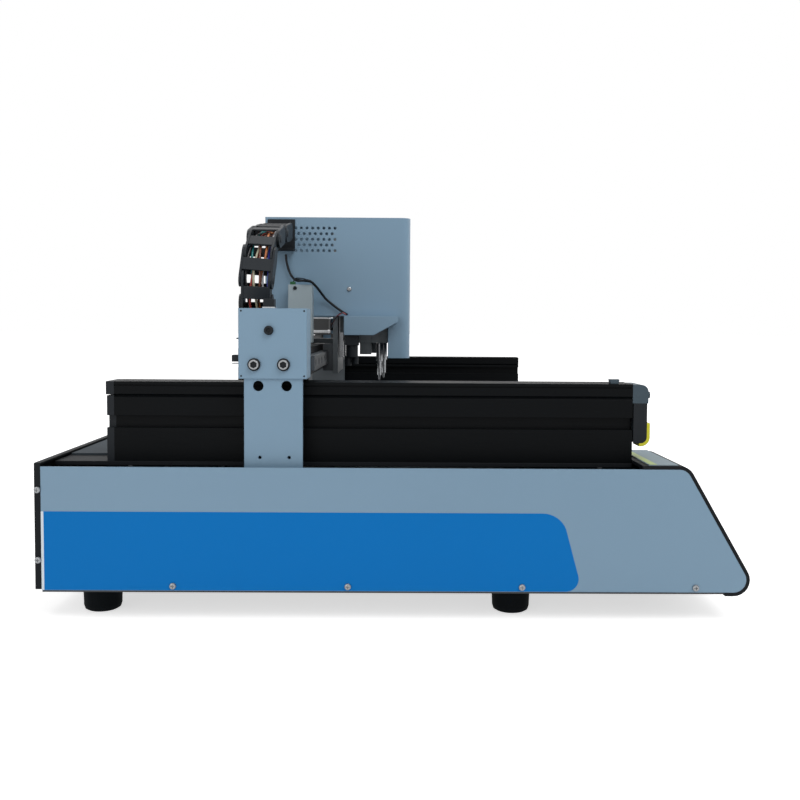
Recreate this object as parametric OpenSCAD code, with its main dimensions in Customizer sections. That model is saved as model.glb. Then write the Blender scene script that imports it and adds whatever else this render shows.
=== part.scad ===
// Desktop pick and place machine: a low sheet-metal base, two rails along Y that carry a
// gantry, and a two-nozzle head that runs along the gantry beam.
// +X is the operator's right, the front faces -Y, +Z is up. The origin is on the bench,
// under the middle of the machine. All sizes are in millimetres.

/* [Base] */
// Width over the two side panels
machine_w = 940; // [860:10:1040]
// Depth from the nose of the front cover to the back of the rear panel
machine_l = 680; // [660:10:720]
// Height of the base from its floor sheet to the deck
base_h = 120; // [110:1:150]
// Thickness of the side panels
panel_t = 1.5; // [1:0.5:3]
// Lean of the sloping front from upright
slope_deg = 30; // [20:1:35]
// Bend radius where the deck meets the sloping front
deck_bend_r = 12; // [6:1:18]
// Bend radius of the nose at the foot of the sloping front
nose_r = 12; // [8:1:16]
// Thickness of the formed front cover
cover_t = 3.5; // [2:0.5:5]
// Depth by which the feeder bay lies under the front deck
bay_drop = 16; // [10:1:24]
// Width of the full-height front deck at each side of the feeder bay
bay_side_w = 110; // [90:1:130]
// Depth of the rear panel, a shallow pan
rear_panel_t = 6; // [4:0.5:9]
// Sheet thickness of the rear panel and the floor tray
sheet_t = 2; // [1.5:0.5:3]
// Thickness of the deck sheet under the rails
deck_t = 4; // [3:0.5:6]
// Thickness of the grey work plate between the rails
work_plate_t = 2; // [1:0.5:4]
// Thickness of the two cross members inside the base
member_t = 4; // [3:0.5:6]
// Height of the rubber feet
foot_h = 28; // [20:1:35]
// Diameter of a foot at its top
foot_d = 38.5; // [30:0.5:44]
// Distance of the feet from the side panels
foot_inset = 45; // [40:1:70]
// Distance of the rear feet from the back of the machine
foot_rear_in = 50; // [40:1:90]
// Distance of the front feet from the nose of the machine
foot_front_in = 223; // [160:1:280]
// Distance of the rear cross member from the back of the machine
rear_member_in = 82; // [76:1:90]
// Distance of the front cross member from the nose of the machine
front_member_in = 135; // [125:1:145]
// Head diameter of the panel screws
panel_screw_d = 6; // [5:0.5:8]

/* [Rails] */
// Width of the rail extrusions
rail_w = 40; // [36:1:44]
// Height of the rail extrusions
rail_h = 78.6; // [76:0.1:86]
// Distance of the rails from the outside of the machine
rail_inset = 40; // [38:1:44]
// Distance of the rails' rear end from the rear panel
rail_rear_in = 58; // [50:1:64]
// Distance of the rails' front end from the nose of the machine
rail_front_in = 105; // [100:1:115]
// Height of the ribbed top bar of a rail
top_bar_h = 14; // [12:0.5:16]
// Depth of the long grooves in the rail faces
groove_d = 7; // [4:0.5:9]
// Width of the long grooves in the rail faces
groove_w = 12; // [8:0.5:13]
// Thickness of the plates that close the rail ends
end_plate_t = 7; // [4:0.5:8]
// Width of the linear guides
guide_w = 15; // [12:0.5:15.5]
// Height of the linear guides
guide_h = 10; // [8:0.5:11]
// Height of the guides' middle line above the deck
y_guide_z = 23.5; // [22:0.5:26]
// Pitch of the holes in the Y guides
y_guide_pitch = 60; // [50:5:70]
// Pitch of the holes in the X guide
x_guide_pitch = 40; // [30:5:50]

/* [Gantry] */
// Place of the beam along Y when the machine is stored
beam_y = 120; // [110:1:130]
// Width of the beam extrusion
beam_w = 60; // [56:1:64]
// Height of the beam extrusion
beam_h = 30; // [29:1:32]
// Air between the rails and the underside of the beam
beam_lift = 3.4; // [2:0.1:6]
// Length of the box over each end of the beam
end_box_l = 40; // [36:1:44]
// Width of the end boxes along Y
end_box_w = 65; // [62:1:70]
// Height of the end boxes
end_box_h = 67; // [60:1:75]
// Sheet thickness of the end boxes
end_box_t = 2; // [1.5:0.5:3]
// Width of the posts that hang from the beam ends
post_w = 56; // [50:1:60]
// Thickness of the posts
post_t = 3; // [2:0.5:4]
// Thickness of the carriages above their guide's foot
carriage_h = 16; // [15:0.5:18]
// Width of the carriages across their guide
carriage_w = 32; // [28:1:34]
// Length of the carriages
carriage_l = 58; // [50:1:60]
// Width of the drag chain
chain_w = 34; // [30:1:38]
// Height of the drag chain's links
chain_h = 21; // [18:1:24]
// Pitch of the drag chain's links
chain_pitch = 26; // [24:1:30]
// Bend radius of the drag chain at its middle line
chain_r = 49.5; // [45:0.5:53]
// Place of the drag chain's middle along Y
chain_y = 143; // [140:1:145]
// Distance of the chain's bend centre from the head cover
chain_reach = 100; // [90:1:110]

/* [Head] */
// Place of the head's middle along X when the machine is stored
head_x = -167; // [-180:1:-150]
// Width of the head cover
head_w = 150; // [140:1:160]
// Front face of the head cover
head_front_y = -18; // [-24:1:-14]
// Rear edge of the head cover
head_rear_y = 153; // [150:1:158]
// Top of the head cover above the bench
head_top_z = 410; // [405:1:425]
// Lower edge of the cover's sides above the bench
head_side_z = 294; // [292:1:300]
// Lower edge of the cover's front above the bench
head_front_z = 244.6; // [240:0.1:260]
// Sheet thickness of the head cover
head_sheet_t = 1.5; // [1:0.25:2.5]
// Bend radius of the cover's front edges
head_bend_r = 11; // [6:1:14]
// Thickness of the head's back plate
head_plate_t = 6; // [5:0.5:8]
// Distance of each nozzle from the middle of the head
nozzle_off = 30; // [28:0.5:34]
// Place of the left nozzle along Y
nozzle_a_y = 18.5; // [16:0.5:20]
// Place of the right nozzle along Y
nozzle_b_y = 13.5; // [12:0.5:16]
// Height of the nozzle tips above the bench at rest
nozzle_tip_z = 216; // [212:1:220]
// Teeth of the pinion that drives the two nozzle racks
pinion_teeth = 36; // [32:2:40]
// Tooth module of the pinion and the racks
tooth_module = 1; // [1:0.1:1.1]

/* [Electrics] */
// Width of the power supply along X
supply_w = 215; // [180:5:230]
// Depth of the power supply along Y
supply_l = 115; // [90:5:120]
// Height of the power supply
supply_h = 50; // [40:1:60]
// Width of the control board along X
board_w = 220; // [180:5:240]
// Depth of the control board along Y
board_l = 160; // [120:5:170]
// Side of the gantry drive motor
y_motor_w = 57; // [50:1:60]
// Side of the small stepping motors
small_motor_w = 42; // [40:1:43]

/* [Hidden] */
$fn = 32;

// Clearances
run_gap = 0.05;      // a shaft in its bearing
slide_gap = 0.3;     // a carriage round its guide, and any piece that passes another
hole_gap = 0.25;     // a screw in its hole
arc_steps = 8;       // facets of a bent corner

// Base
side_x = machine_w / 2;
panel_x = side_x - panel_t;
base_z = foot_h;
panel_z = base_z + sheet_t;
deck_z = base_z + base_h;
rear_y = machine_l / 2 - rear_panel_t;
nose_y = -machine_l / 2 + cover_t + nose_r;
nose_z = panel_z + nose_r;
slope_top_y = nose_y - nose_r / cos(slope_deg) + (deck_z - nose_z) * tan(slope_deg);
member_x = side_x - rail_inset + 2;
slot_w = panel_x - member_x;
plate_top_z = deck_z + work_plate_t;
bay_x = side_x - bay_side_w;
foot_rear_y = machine_l / 2 - foot_rear_in;
foot_front_y = -machine_l / 2 + foot_front_in;
rear_member_y = machine_l / 2 - rear_member_in;
front_member_y = -machine_l / 2 + front_member_in;
rail_rear_y = rear_y - rail_rear_in;
rail_front_y = -machine_l / 2 + rail_front_in;
cover_rear_y = rail_front_y - slide_gap;
cover_tail = 8;      // part of the front cover that turns under the floor tray
flange_h = 20;

// Rails and guides
rail_x1 = side_x - rail_inset;
rail_x0 = rail_x1 - rail_w;
rail_z = deck_z + rail_h;
y_guide_mid_z = deck_z + y_guide_z;
guide_foot = 4;      // part of a guide's height that a carriage leaves bare
carriage_t = carriage_h - guide_foot;

// Y drive: a shaft across the back, an axle across the front, a belt on each side
belt_w = 9;
belt_t = 1.5;
belt_x = side_x - 24;
pulley_r = 12;
drive_z = 98;
drive_y = rear_y - 34;
idler_y = rail_front_y - 12;
shaft_r = 5;
belt_run_r = pulley_r + belt_t / 2;
clamp_z = drive_z + pulley_r + belt_t + slide_gap;
motor_x = 38;

// Gantry
beam_z0 = rail_z + beam_lift;
beam_z1 = beam_z0 + beam_h;
beam_mid_z = (beam_z0 + beam_z1) / 2;
beam_y0 = beam_y - beam_w / 2;
beam_y1 = beam_y + beam_w / 2;
beam_x = side_x - 15;
post_x = beam_x + post_t;
box_x = post_x + end_box_t;
box_y0 = beam_y0 - 6;
box_y1 = box_y0 + end_box_w;
box_z1 = beam_z0 + 1.5 + end_box_h;
core_off = beam_w / 4 - 1;
core_r = 3.4;
x_pulley_r = 6.1;
x_belt_w = 5;
x_belt_t = 1.4;
x_belt_y = beam_y + 19;
x_pulley_z = beam_z1 + 0.8;
x_belt_z = x_pulley_z + 0.6;
x_idler_x = -box_x + end_box_l / 2 + 4;
x_motor_x = rail_x0 + 3;
tray_z = beam_z1 + 8.2;
tray_t = 1.5;
tray_rim = 2;
chain_z0 = tray_z + tray_t;
chain_low_z = chain_z0 + chain_h / 2;
chain_high_z = chain_low_z + 2 * chain_r;

// Head
head_x0 = head_x - head_w / 2;
head_x1 = head_x + head_w / 2;
guide_face_y = beam_y0;
plate_y1 = guide_face_y - carriage_h;
plate_y0 = plate_y1 - head_plate_t;
pinion_z = 325;
pinion_r = pinion_teeth * tooth_module / 2;
z_travel = 27;
z_guide_w = 7;
z_guide_h = 5;
z_block_y0 = plate_y0 - 8.5;
z_block_z0 = 275;
z_block_l = 31;
spin_motor_w = 20;
spin_motor_z0 = 262;
spin_motor_l = 28;
spindle_r = 2.5;
chain_bend_x = head_x0 - chain_reach;
low_links = 11;
high_links = floor((chain_reach - 4) / chain_pitch);
chain_anchor_x = chain_bend_x + low_links * chain_pitch;
low_end_x = chain_anchor_x + chain_h / 2 - 1;
high_end_x = chain_bend_x + high_links * chain_pitch + chain_h / 2 - 1;
shelf_z0 = 272;
shelf_z1 = head_side_z - 1.4;
shelf_out = 24;

// ---- helpers -------------------------------------------------------------------------

// A block from its low and high corners along each axis
module block(x, y, z)
    translate([x[0], y[0], z[0]]) cube([x[1] - x[0], y[1] - y[0], z[1] - z[0]]);

// Rods along each axis
module rod_x(x, y, z, r)
    translate([x[0], y, z]) rotate([0, 90, 0]) cylinder(h = x[1] - x[0], r = r);
module rod_y(x, y, z, r)
    translate([x, y[0], z]) rotate([-90, 0, 0]) cylinder(h = y[1] - y[0], r = r);
module rod_z(z, x, y, r)
    translate([x, y, z[0]]) cylinder(h = z[1] - z[0], r = r);

// A (y, z) outline carried along X, and an (x, z) outline carried along Y
module along_x(x)
    translate([x[0], 0, 0]) rotate([90, 0, 90]) linear_extrude(x[1] - x[0]) children();
module along_y(y)
    translate([0, y[1], 0]) rotate([90, 0, 0]) linear_extrude(y[1] - y[0]) children();

module both_sides() {
    children();
    mirror([1, 0, 0]) children();
}

// Corner b of a polygon, rounded to radius r between its neighbours a and c
function unit(v) = v / norm(v);
function corner(a, b, c, r) = r == 0 ? [b] :
    let (u = unit(a - b), w = unit(c - b), half = acos(u * w) / 2,
         middle = b + unit(u + w) * r / sin(half),
         from = b + u * r / tan(half) - middle, to = b + w * r / tan(half) - middle,
         a0 = atan2(from[1], from[0]),
         turn = (atan2(to[1], to[0]) - a0 + 900) % 360 - 180)
    [for (i = [0 : arc_steps]) let (t = a0 + turn * i / arc_steps)
        middle + r * [cos(t), sin(t)]];
function rounded(p, r) = [for (i = [0 : len(p) - 1])
    for (q = corner(p[(i + len(p) - 1) % len(p)], p[i], p[(i + 1) % len(p)], r[i])) q];

// The base's side outline, set out by d: deck, sloping front and nose
function slope_y(z, d) = slope_top_y + (z - deck_z) * tan(slope_deg) - d / cos(slope_deg);
function base_outline(d, top = deck_z) = rounded(
    [[rear_y, panel_z - d], [rear_y, top + d],
     [slope_y(top + d, d), top + d], [slope_y(panel_z - d, d), panel_z - d]],
    [0, 0, deck_bend_r + d, nose_r + d]);

// ---- base ----------------------------------------------------------------------------

module base_tray() color("dimgray") {
    block([-panel_x, panel_x], [nose_y + cover_tail + slide_gap, rear_y], [base_z, panel_z]);
    both_sides() block([panel_x - sheet_t, panel_x], [nose_y + 30, rear_y - 20],
        [panel_z, panel_z + flange_h]);
}

module side_panel() color("lightsteelblue")
    along_x([panel_x, side_x]) polygon(base_outline(0));
module right_side_panel() side_panel();
module left_side_panel() mirror([1, 0, 0]) side_panel();

// One bent band round the front, at full deck height or sunk to the feeder bay
module cover_band(x, top) along_x(x) difference() {
    polygon(base_outline(cover_t, top));
    polygon(base_outline(0, top));
    translate([cover_rear_y, 0]) square([machine_l, deck_z * 2]);
    translate([nose_y + cover_tail, 0]) square([machine_l, panel_z + nose_r]);
}
module front_cover() color("black") difference() {
    union() {
        both_sides() cover_band([bay_x, side_x], deck_z);
        cover_band([-bay_x, bay_x], deck_z - bay_drop);
        both_sides() along_x([bay_x, bay_x + sheet_t]) intersection() {
            polygon(base_outline(cover_t));
            translate([slope_top_y - 40, deck_z - bay_drop])
                square([cover_rear_y - slope_top_y + 40, bay_drop + cover_t]);
        }
    }
    stop_frame() cylinder(h = 60, r = stop_bush_r + hole_gap, center = true);
}

// Place and direction of the stop button on the sloping front, Z along its push rod
stop_x = 385;
stop_z = 96;
stop_bush_r = 11;
stop_rod_r = 6;
stop_travel = 5;
module stop_frame()
    translate([stop_x, slope_y(stop_z, cover_t), stop_z]) rotate([90 - slope_deg, 0, 0])
        children();
module estop_base() color("gold") stop_frame() difference() {
    union() {
        cylinder(h = 3, r = 22);
        translate([0, 0, -20]) cylinder(h = 21, r = stop_bush_r);
    }
    translate([0, 0, -21]) cylinder(h = 30, r = stop_rod_r + run_gap);
}
module estop_button() color("red") stop_frame() {
    translate([0, 0, -19]) cylinder(h = 31, r = stop_rod_r);
    rotate_extrude() polygon([[0, 3 + stop_travel + 1], [14, 3 + stop_travel + 1],
        [20, 14], [20, 18], [17, 22], [10, 24.5], [0, 25.5]]);
}

// Rear panel: a pan with air slots and the cut-outs for inlet, switch and data ports
inlet_x = 380;
inlet_z = 88;
inlet_w = 27;
inlet_h = 20;
rocker_x = 330;
rocker_w = 13;
rocker_h = 19;
port_x = 270;
module rear_panel() color("black") difference() {
    block([-side_x, side_x], [rear_y, rear_y + rear_panel_t], [panel_z + 1, deck_z + cover_t]);
    block([-side_x + sheet_t, side_x - sheet_t], [rear_y - 1, rear_y + rear_panel_t - sheet_t],
        [panel_z + 1 + sheet_t, deck_z + cover_t - sheet_t]);
    for (x = [-360 : 12 : -180], z = [64, 92])
        block([x, x + 5], [rear_y, rear_y + 10], [z, z + 22]);
    block([inlet_x - inlet_w / 2 - 3, inlet_x + inlet_w / 2 + 3], [rear_y, rear_y + 10],
        [inlet_z - inlet_h / 2 - 3, inlet_z + inlet_h / 2 + 3]);
    block([rocker_x - rocker_w / 2 - 3, rocker_x + rocker_w / 2 + 3], [rear_y, rear_y + 10],
        [inlet_z - rocker_h / 2 - 3, inlet_z + rocker_h / 2 + 3]);
    block([port_x - 7, port_x + 7], [rear_y, rear_y + 10], [inlet_z - 7, inlet_z + 7]);
}

// Mains inlet, the frame of the rocker switch and a square data port
module socket(x, w, h, depth) difference() {
    union() {
        block([x - w / 2 - 3 + hole_gap, x + w / 2 + 3 - hole_gap],
            [rear_y - depth, rear_y + rear_panel_t],
            [inlet_z - h / 2 - 3 + hole_gap, inlet_z + h / 2 + 3 - hole_gap]);
        block([x - w / 2 - 6, x + w / 2 + 6], [rear_y + rear_panel_t, rear_y + rear_panel_t + 2],
            [inlet_z - h / 2 - 6, inlet_z + h / 2 + 6]);
    }
    block([x - w / 2, x + w / 2], [rear_y + rear_panel_t - 14, rear_y + rear_panel_t + 3],
        [inlet_z - h / 2, inlet_z + h / 2]);
}
module power_inlet() color("black") {
    socket(inlet_x, inlet_w, inlet_h, 14);
    for (x = [-7, 0, 7]) block([inlet_x + x - 1, inlet_x + x + 1],
        [rear_y + rear_panel_t - 14, rear_y + rear_panel_t - 3],
        [inlet_z + (x == 0 ? 3.5 : 1), inlet_z + (x == 0 ? 7.5 : 5)]);
    difference() {
        socket(rocker_x, rocker_w, rocker_h, 14);
        rod_x([rocker_x - rocker_w / 2 - 2, rocker_x + rocker_w / 2 + 2],
            rear_y + rear_panel_t, inlet_z, 1.5 + run_gap);
    }
    block([port_x - 6.5, port_x + 6.5], [rear_y - 10, rear_y + rear_panel_t + 1],
        [inlet_z - 6.5, inlet_z + 6.5]);
}
module power_rocker() color("firebrick") {
    rod_x([rocker_x - rocker_w / 2 - 1.8, rocker_x + rocker_w / 2 + 1.8],
        rear_y + rear_panel_t, inlet_z, 1.5);
    along_x([rocker_x - rocker_w / 2 + slide_gap, rocker_x + rocker_w / 2 - slide_gap])
        translate([rear_y + rear_panel_t, inlet_z]) polygon([[-6, -5], [-6, 5],
            [1, rocker_h / 2 - 0.8], [5.2, rocker_h / 2 - 1.4], [3.4, 0],
            [5.2, -rocker_h / 2 + 1.4], [1, -rocker_h / 2 + 0.8]]);
}

// Two walls across the base that hold up the deck and carry the Y drive
module member(y, reach) {
    difference() {
        block([-member_x, member_x], [y, y + member_t], [panel_z, deck_z - deck_t]);
        for (x = [-280, 0, 280]) block([x - 90, x + 90], [y - 1, y + member_t + 1],
            [panel_z + 20, deck_z - deck_t - 20]);
    }
    both_sides() difference() {
        block([member_x - member_t, member_x], [min(y, reach - 16), max(y, reach + 16)],
            [panel_z, drive_z + 24]);
        rod_x([member_x - member_t - 1, member_x + 1], reach, drive_z, shaft_r + run_gap);
    }
}
module cross_members() color("dimgray") {
    member(rear_member_y, drive_y);
    member(front_member_y, idler_y);
    difference() {
        block([motor_x, motor_x + member_t], [rear_member_y + member_t, rear_y - 4],
            [panel_z, drive_z + 24]);
        rod_x([motor_x - 1, motor_x + member_t + 1], drive_y, drive_z, 19);
    }
}

module deck_plate() color("black")
    block([-member_x, member_x], [cover_rear_y + slide_gap, rear_y], [deck_z - deck_t, deck_z]);
module work_plate() color("gray")
    block([-rail_x0, rail_x0], [cover_rear_y + 1, rear_y - 2], [deck_z, plate_top_z]);

module foot(x, y) translate([x, y, 0]) rotate_extrude()
    polygon([[0, 0], [foot_d / 2 - 4.5, 0], [foot_d / 2 - 2, 1.5], [foot_d / 2 - 0.9, 5],
        [foot_d / 2, foot_h], [0, foot_h]]);
module rubber_feet() color("black") both_sides() {
    foot(side_x - foot_inset, foot_rear_y);
    foot(side_x - foot_inset, foot_front_y);
}

// Pan heads along the foot of each side, on the rear panel's rim and on the front cover
panel_screw_y = [210, 44, -122, -288];
rim_screw_z = [126, 59];
cover_screw_z = [127, 68];
module panel_screws() color("silver") {
    both_sides() {
        for (y = panel_screw_y) rod_x([side_x, side_x + 2], y, panel_z + 4.5, panel_screw_d / 2);
        for (z = rim_screw_z) rod_x([side_x, side_x + 1.5], rear_y + rear_panel_t / 2, z, 1.8);
        for (z = cover_screw_z) translate([side_x - 12, slope_y(z, cover_t), z])
            rotate([90 - slope_deg, 0, 0]) cylinder(h = 3, r = panel_screw_d);
    }
}

// ---- rails ---------------------------------------------------------------------------

// Rail section: a ribbed top bar over a deep body with one groove in each side
module rail_section() difference() {
    translate([rail_x0, deck_z]) square([rail_w, rail_h]);
    translate([rail_x1 - groove_d, deck_z + 33]) square([groove_d + 1, groove_w]);
    translate([rail_x0 - 1, deck_z + 48]) square([groove_d + 1, groove_w]);
    for (side = [-1, 1]) translate([(rail_x0 + rail_x1) / 2 + side * rail_w / 2,
            rail_z - top_bar_h]) rotate(45) square(2.4, center = true);
    for (x = [0.2, 0.5, 0.8]) translate([rail_x0 + rail_w * x, rail_z])
        rotate(45) square(2.2, center = true);
    translate([rail_x1 - 1.2, rail_z - 4.5]) square([2, 1.4]);
}
module rail() color("black") along_y([rail_front_y, rail_rear_y]) rail_section();
module right_rail() rail();
module left_rail() mirror([1, 0, 0]) rail();

module rail_end_plates() color("black") both_sides() {
    difference() {
        block([rail_x0, rail_x1], [rail_rear_y, rail_rear_y + end_plate_t],
            [deck_z, rail_z - top_bar_h]);
        block([rail_x1 - groove_d, rail_x1 + 1], [rail_rear_y - 1, rail_rear_y + end_plate_t + 1],
            [deck_z + 33, deck_z + 33 + groove_w]);
    }
    block([rail_x0, rail_x1], [rail_rear_y, rail_rear_y + end_plate_t + 1],
        [rail_z - top_bar_h + 1, rail_z]);
}

// Linear guide along Y with counterbored holes
guide_hole_r = 2.3;
guide_bore_r = 3.9;
module y_guide() difference() {
    along_y([rail_front_y + 5, rail_rear_y - 6]) polygon([
        [rail_x0, y_guide_mid_z - guide_w / 2], [rail_x0, y_guide_mid_z + guide_w / 2],
        [rail_x0 - 5, y_guide_mid_z + guide_w / 2], [rail_x0 - 6, y_guide_mid_z + guide_w / 2 - 1],
        [rail_x0 - 7, y_guide_mid_z + guide_w / 2], [rail_x0 - guide_h, y_guide_mid_z + guide_w / 2],
        [rail_x0 - guide_h, y_guide_mid_z - guide_w / 2], [rail_x0 - 7, y_guide_mid_z - guide_w / 2],
        [rail_x0 - 6, y_guide_mid_z - guide_w / 2 + 1], [rail_x0 - 5, y_guide_mid_z - guide_w / 2]]);
    for (y = [rail_front_y + 25 : y_guide_pitch : rail_rear_y - 12])
        rod_x([rail_x0 - guide_h - 1, rail_x0 - guide_h + 5], y, y_guide_mid_z, guide_bore_r);
}
module y_guides() color("silver") both_sides() y_guide();

// Cap on the front end of the left rail, with its screw, and the stop tab on top
cap_l = 15.5;
module rail_cap() color("gray") mirror([1, 0, 0]) {
    along_x([rail_x0, rail_x1]) polygon(rounded(
        [[rail_front_y, rail_z - 19], [rail_front_y, rail_z - 0.6],
         [rail_front_y - cap_l, rail_z - 0.6], [rail_front_y - cap_l, rail_z - 19]],
        [0, 0, 7, 1]));
    rod_y(rail_x1 - 8, [rail_front_y - cap_l - 3, rail_front_y - cap_l], rail_z - 11, 3.25);
    along_x([rail_x1 - 10, rail_x1 - 2]) polygon([[rail_front_y + 14, rail_z],
        [rail_front_y + 21.5, rail_z], [rail_front_y + 22.5, rail_z + 4.5],
        [rail_front_y + 13, rail_z + 4.5]]);
}
// Flat sensor under the cap and the yellow guard round its lower front corner
sensor_w = 24;
sensor_z0 = deck_z + 20;
guard_t = 3;
function sensor_outline(d) = rounded(
    [[rail_front_y - 1, sensor_z0 - d], [rail_front_y - 1, rail_z - 19],
     [rail_front_y - cap_l + 1 - d, rail_z - 19], [rail_front_y - cap_l + 1 - d, sensor_z0 - d]],
    [3, 0, 0, 6 + d]);
module end_sensor() color("black") mirror([1, 0, 0])
    along_x([rail_x1 - sensor_w, rail_x1]) polygon(sensor_outline(0));
module sensor_guard() color("gold") mirror([1, 0, 0])
    along_x([rail_x1 - sensor_w + 1, rail_x1]) difference() {
        polygon(sensor_outline(guard_t));
        polygon(sensor_outline(0));
        translate([rail_front_y - 40, sensor_z0 + 20]) square([60, 60]);
        translate([rail_front_y - 7, sensor_z0 - 20]) square([20, 60]);
    }

// Pale plates on the raised front deck at each side
rest_t = 1;
module front_rest_plates() color("lightgray") both_sides()
    block([bay_x + 1, side_x - 1], [slope_top_y + deck_bend_r - 4, cover_rear_y - 6],
        [deck_z + cover_t, deck_z + cover_t + rest_t]);

// ---- inside the base -----------------------------------------------------------------

// Double-shaft stepping motor in the middle of the drive shaft
module y_motor() color("black") difference() {
    union() {
        block([-motor_x, motor_x], [drive_y - y_motor_w / 2, drive_y + y_motor_w / 2],
            [drive_z - y_motor_w / 2, drive_z + y_motor_w / 2]);
        rod_x([motor_x, motor_x + member_t], drive_y, drive_z, 18.7);
    }
    rod_x([-motor_x - 1, motor_x + member_t + 1], drive_y, drive_z, shaft_r + run_gap);
}
module drive_pulley(x, y) {
    rod_x([x - belt_w / 2 - 0.3, x + belt_w / 2 + 0.3], y, drive_z, pulley_r - 0.1);
    for (s = [-1, 1]) rod_x([x + s * (belt_w / 2 + 0.9) - 0.6, x + s * (belt_w / 2 + 0.9) + 0.6],
        y, drive_z, pulley_r + 2);
}
module cross_shaft(y) {
    rod_x([-belt_x - 8, belt_x + 8], y, drive_z, shaft_r);
    both_sides() drive_pulley(belt_x, y);
}
module y_drive_shaft() color("silver") cross_shaft(drive_y);
module y_idler_shaft() color("silver") cross_shaft(idler_y);

// A closed belt: two straight runs and two half turns, as an outline
module belt_outline(a, b, r, t) difference() {
    union() {
        translate([a, 0]) circle(r + t);
        translate([b, 0]) circle(r + t);
        translate([a, -r - t]) square([b - a, 2 * (r + t)]);
    }
    translate([a, 0]) circle(r);
    translate([b, 0]) circle(r);
    translate([a, -r]) square([b - a, 2 * r]);
}
module y_belts() color("black") both_sides()
    along_x([belt_x - belt_w / 2, belt_x + belt_w / 2]) translate([0, drive_z])
        belt_outline(idler_y, drive_y, pulley_r, belt_t);

module power_supply() color("silver") difference() {
    block([-300, -300 + supply_w], [100, 100 + supply_l], [panel_z, panel_z + supply_h]);
    block([-300 - 1, -300 + 12], [100 + 3, 100 + supply_l - 3],
        [panel_z + 8, panel_z + supply_h + 1]);
}

standoff_h = 8;
module control_board() color("darkgreen") {
    block([60, 60 + board_w], [-60, -60 + board_l],
        [panel_z + standoff_h, panel_z + standoff_h + 1.6]);
    for (x = [66, 54 + board_w], y = [-54, -66 + board_l])
        rod_z([panel_z, panel_z + standoff_h], x, y, 3);
    for (i = [0 : 3]) block([76 + i * 40, 100 + i * 40], [-30, -6],
        [panel_z + standoff_h + 1.6, panel_z + standoff_h + 14]);
    block([100, 116], [30, 46], [panel_z + standoff_h + 1.6, panel_z + standoff_h + 3]);
    block([150, 50 + board_w], [60, 70], [panel_z + standoff_h + 1.6, panel_z + standoff_h + 12]);
}

// Two diaphragm pumps side by side, each a motor, a head and two hose stubs
pump_r = 13.5;
module pump(x) {
    rod_y(x, [-120, -70], panel_z + pump_r + 4, pump_r);
    block([x - 16, x + 16], [-150, -120], [panel_z, panel_z + 36]);
    for (s = [-7, 7]) rod_y(x + s, [-160, -150], panel_z + 26, 2.5);
    block([x - 9, x + 9], [-110, -80], [panel_z, panel_z + 8]);
}
module vacuum_pumps() color("white") {
    pump(-240);
    pump(-190);
}

// ---- on the deck ---------------------------------------------------------------------

// Camera that looks up at the picked part, in a ring light
up_x = -320;
up_y = -60;
module up_camera() color("black") difference() {
    union() {
        block([up_x - 20, up_x + 20], [up_y - 20, up_y + 20], [plate_top_z, plate_top_z + 22]);
        rod_z([plate_top_z + 22, plate_top_z + 32], up_x, up_y, 16);
    }
    rod_z([plate_top_z + 26, plate_top_z + 33], up_x, up_y, 12);
}

// Board holder: a fixed bar, a bar that slides on two rods, ledges for the board's edges
bar_x = 265;
bar_t = 12;
bar_top_z = 188;
fixed_bar_y = -180;
sliding_bar_y = 40;
ledge = 3;
holder_rod_x = 240;
holder_rod_z = plate_top_z + 12;
holder_rod_r = 4;
holder_end_y = 100;
module board_fixed_bar() color("silver") {
    difference() {
        block([-bar_x, bar_x], [fixed_bar_y, fixed_bar_y + bar_t], [plate_top_z, bar_top_z]);
        block([-bar_x - 1, bar_x + 1], [fixed_bar_y + bar_t - ledge, fixed_bar_y + bar_t + 1],
            [bar_top_z - 2, bar_top_z + 1]);
    }
    both_sides() {
        rod_y(holder_rod_x, [fixed_bar_y + bar_t, holder_end_y], holder_rod_z, holder_rod_r);
        block([holder_rod_x - 12, holder_rod_x + 12], [holder_end_y, holder_end_y + 12],
            [plate_top_z, holder_rod_z + 10]);
    }
}
module board_sliding_bar() color("silver") {
    difference() {
        block([-bar_x, bar_x], [sliding_bar_y, sliding_bar_y + bar_t],
            [plate_top_z + slide_gap, bar_top_z]);
        block([-bar_x - 1, bar_x + 1], [sliding_bar_y - 1, sliding_bar_y + ledge],
            [bar_top_z - 2, bar_top_z + 1]);
        both_sides() rod_y(holder_rod_x, [sliding_bar_y - 1, sliding_bar_y + bar_t + 1],
            holder_rod_z, holder_rod_r + run_gap);
    }
    both_sides() rod_y(holder_rod_x, [sliding_bar_y + bar_t, sliding_bar_y + bar_t + 14],
        bar_top_z - 9, 5);
}

// ---- gantry --------------------------------------------------------------------------

// Beam: a flat extrusion with a groove in each long face and a core hole at each bolt
module x_beam() color("black") difference() {
    along_x([-beam_x, beam_x]) difference() {
        translate([beam_y0, beam_z0]) square([beam_w, beam_h]);
        for (s = [-1, 1]) translate([beam_y + s * core_off, beam_z1 - 2.5])
            square([6, 6], center = true);
        translate([beam_y1 - 5.5, beam_mid_z - 3]) square([6, 6]);
    }
    for (s = [-1, 1], x = [-beam_x - 1, beam_x - 24])
        rod_x([x, x + 25], beam_y + s * core_off, beam_mid_z, core_r);
}

x_guide_x = box_x - end_box_l - 1;
module x_guide() color("silver") difference() {
    block([-x_guide_x, x_guide_x], [guide_face_y - guide_h, guide_face_y],
        [beam_mid_z - guide_w / 2, beam_mid_z + guide_w / 2]);
    for (z = [-1, 1]) translate([0, guide_face_y - guide_h + 4, beam_mid_z + z * guide_w / 2])
        rotate([45, 0, 0]) cube([machine_w, 1.6, 1.6], center = true);
    for (x = [-x_guide_x + 15 : x_guide_pitch : x_guide_x - 5])
        rod_y(x, [guide_face_y - guide_h - 1, guide_face_y - guide_h + 5], beam_mid_z, guide_bore_r);
}

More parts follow.
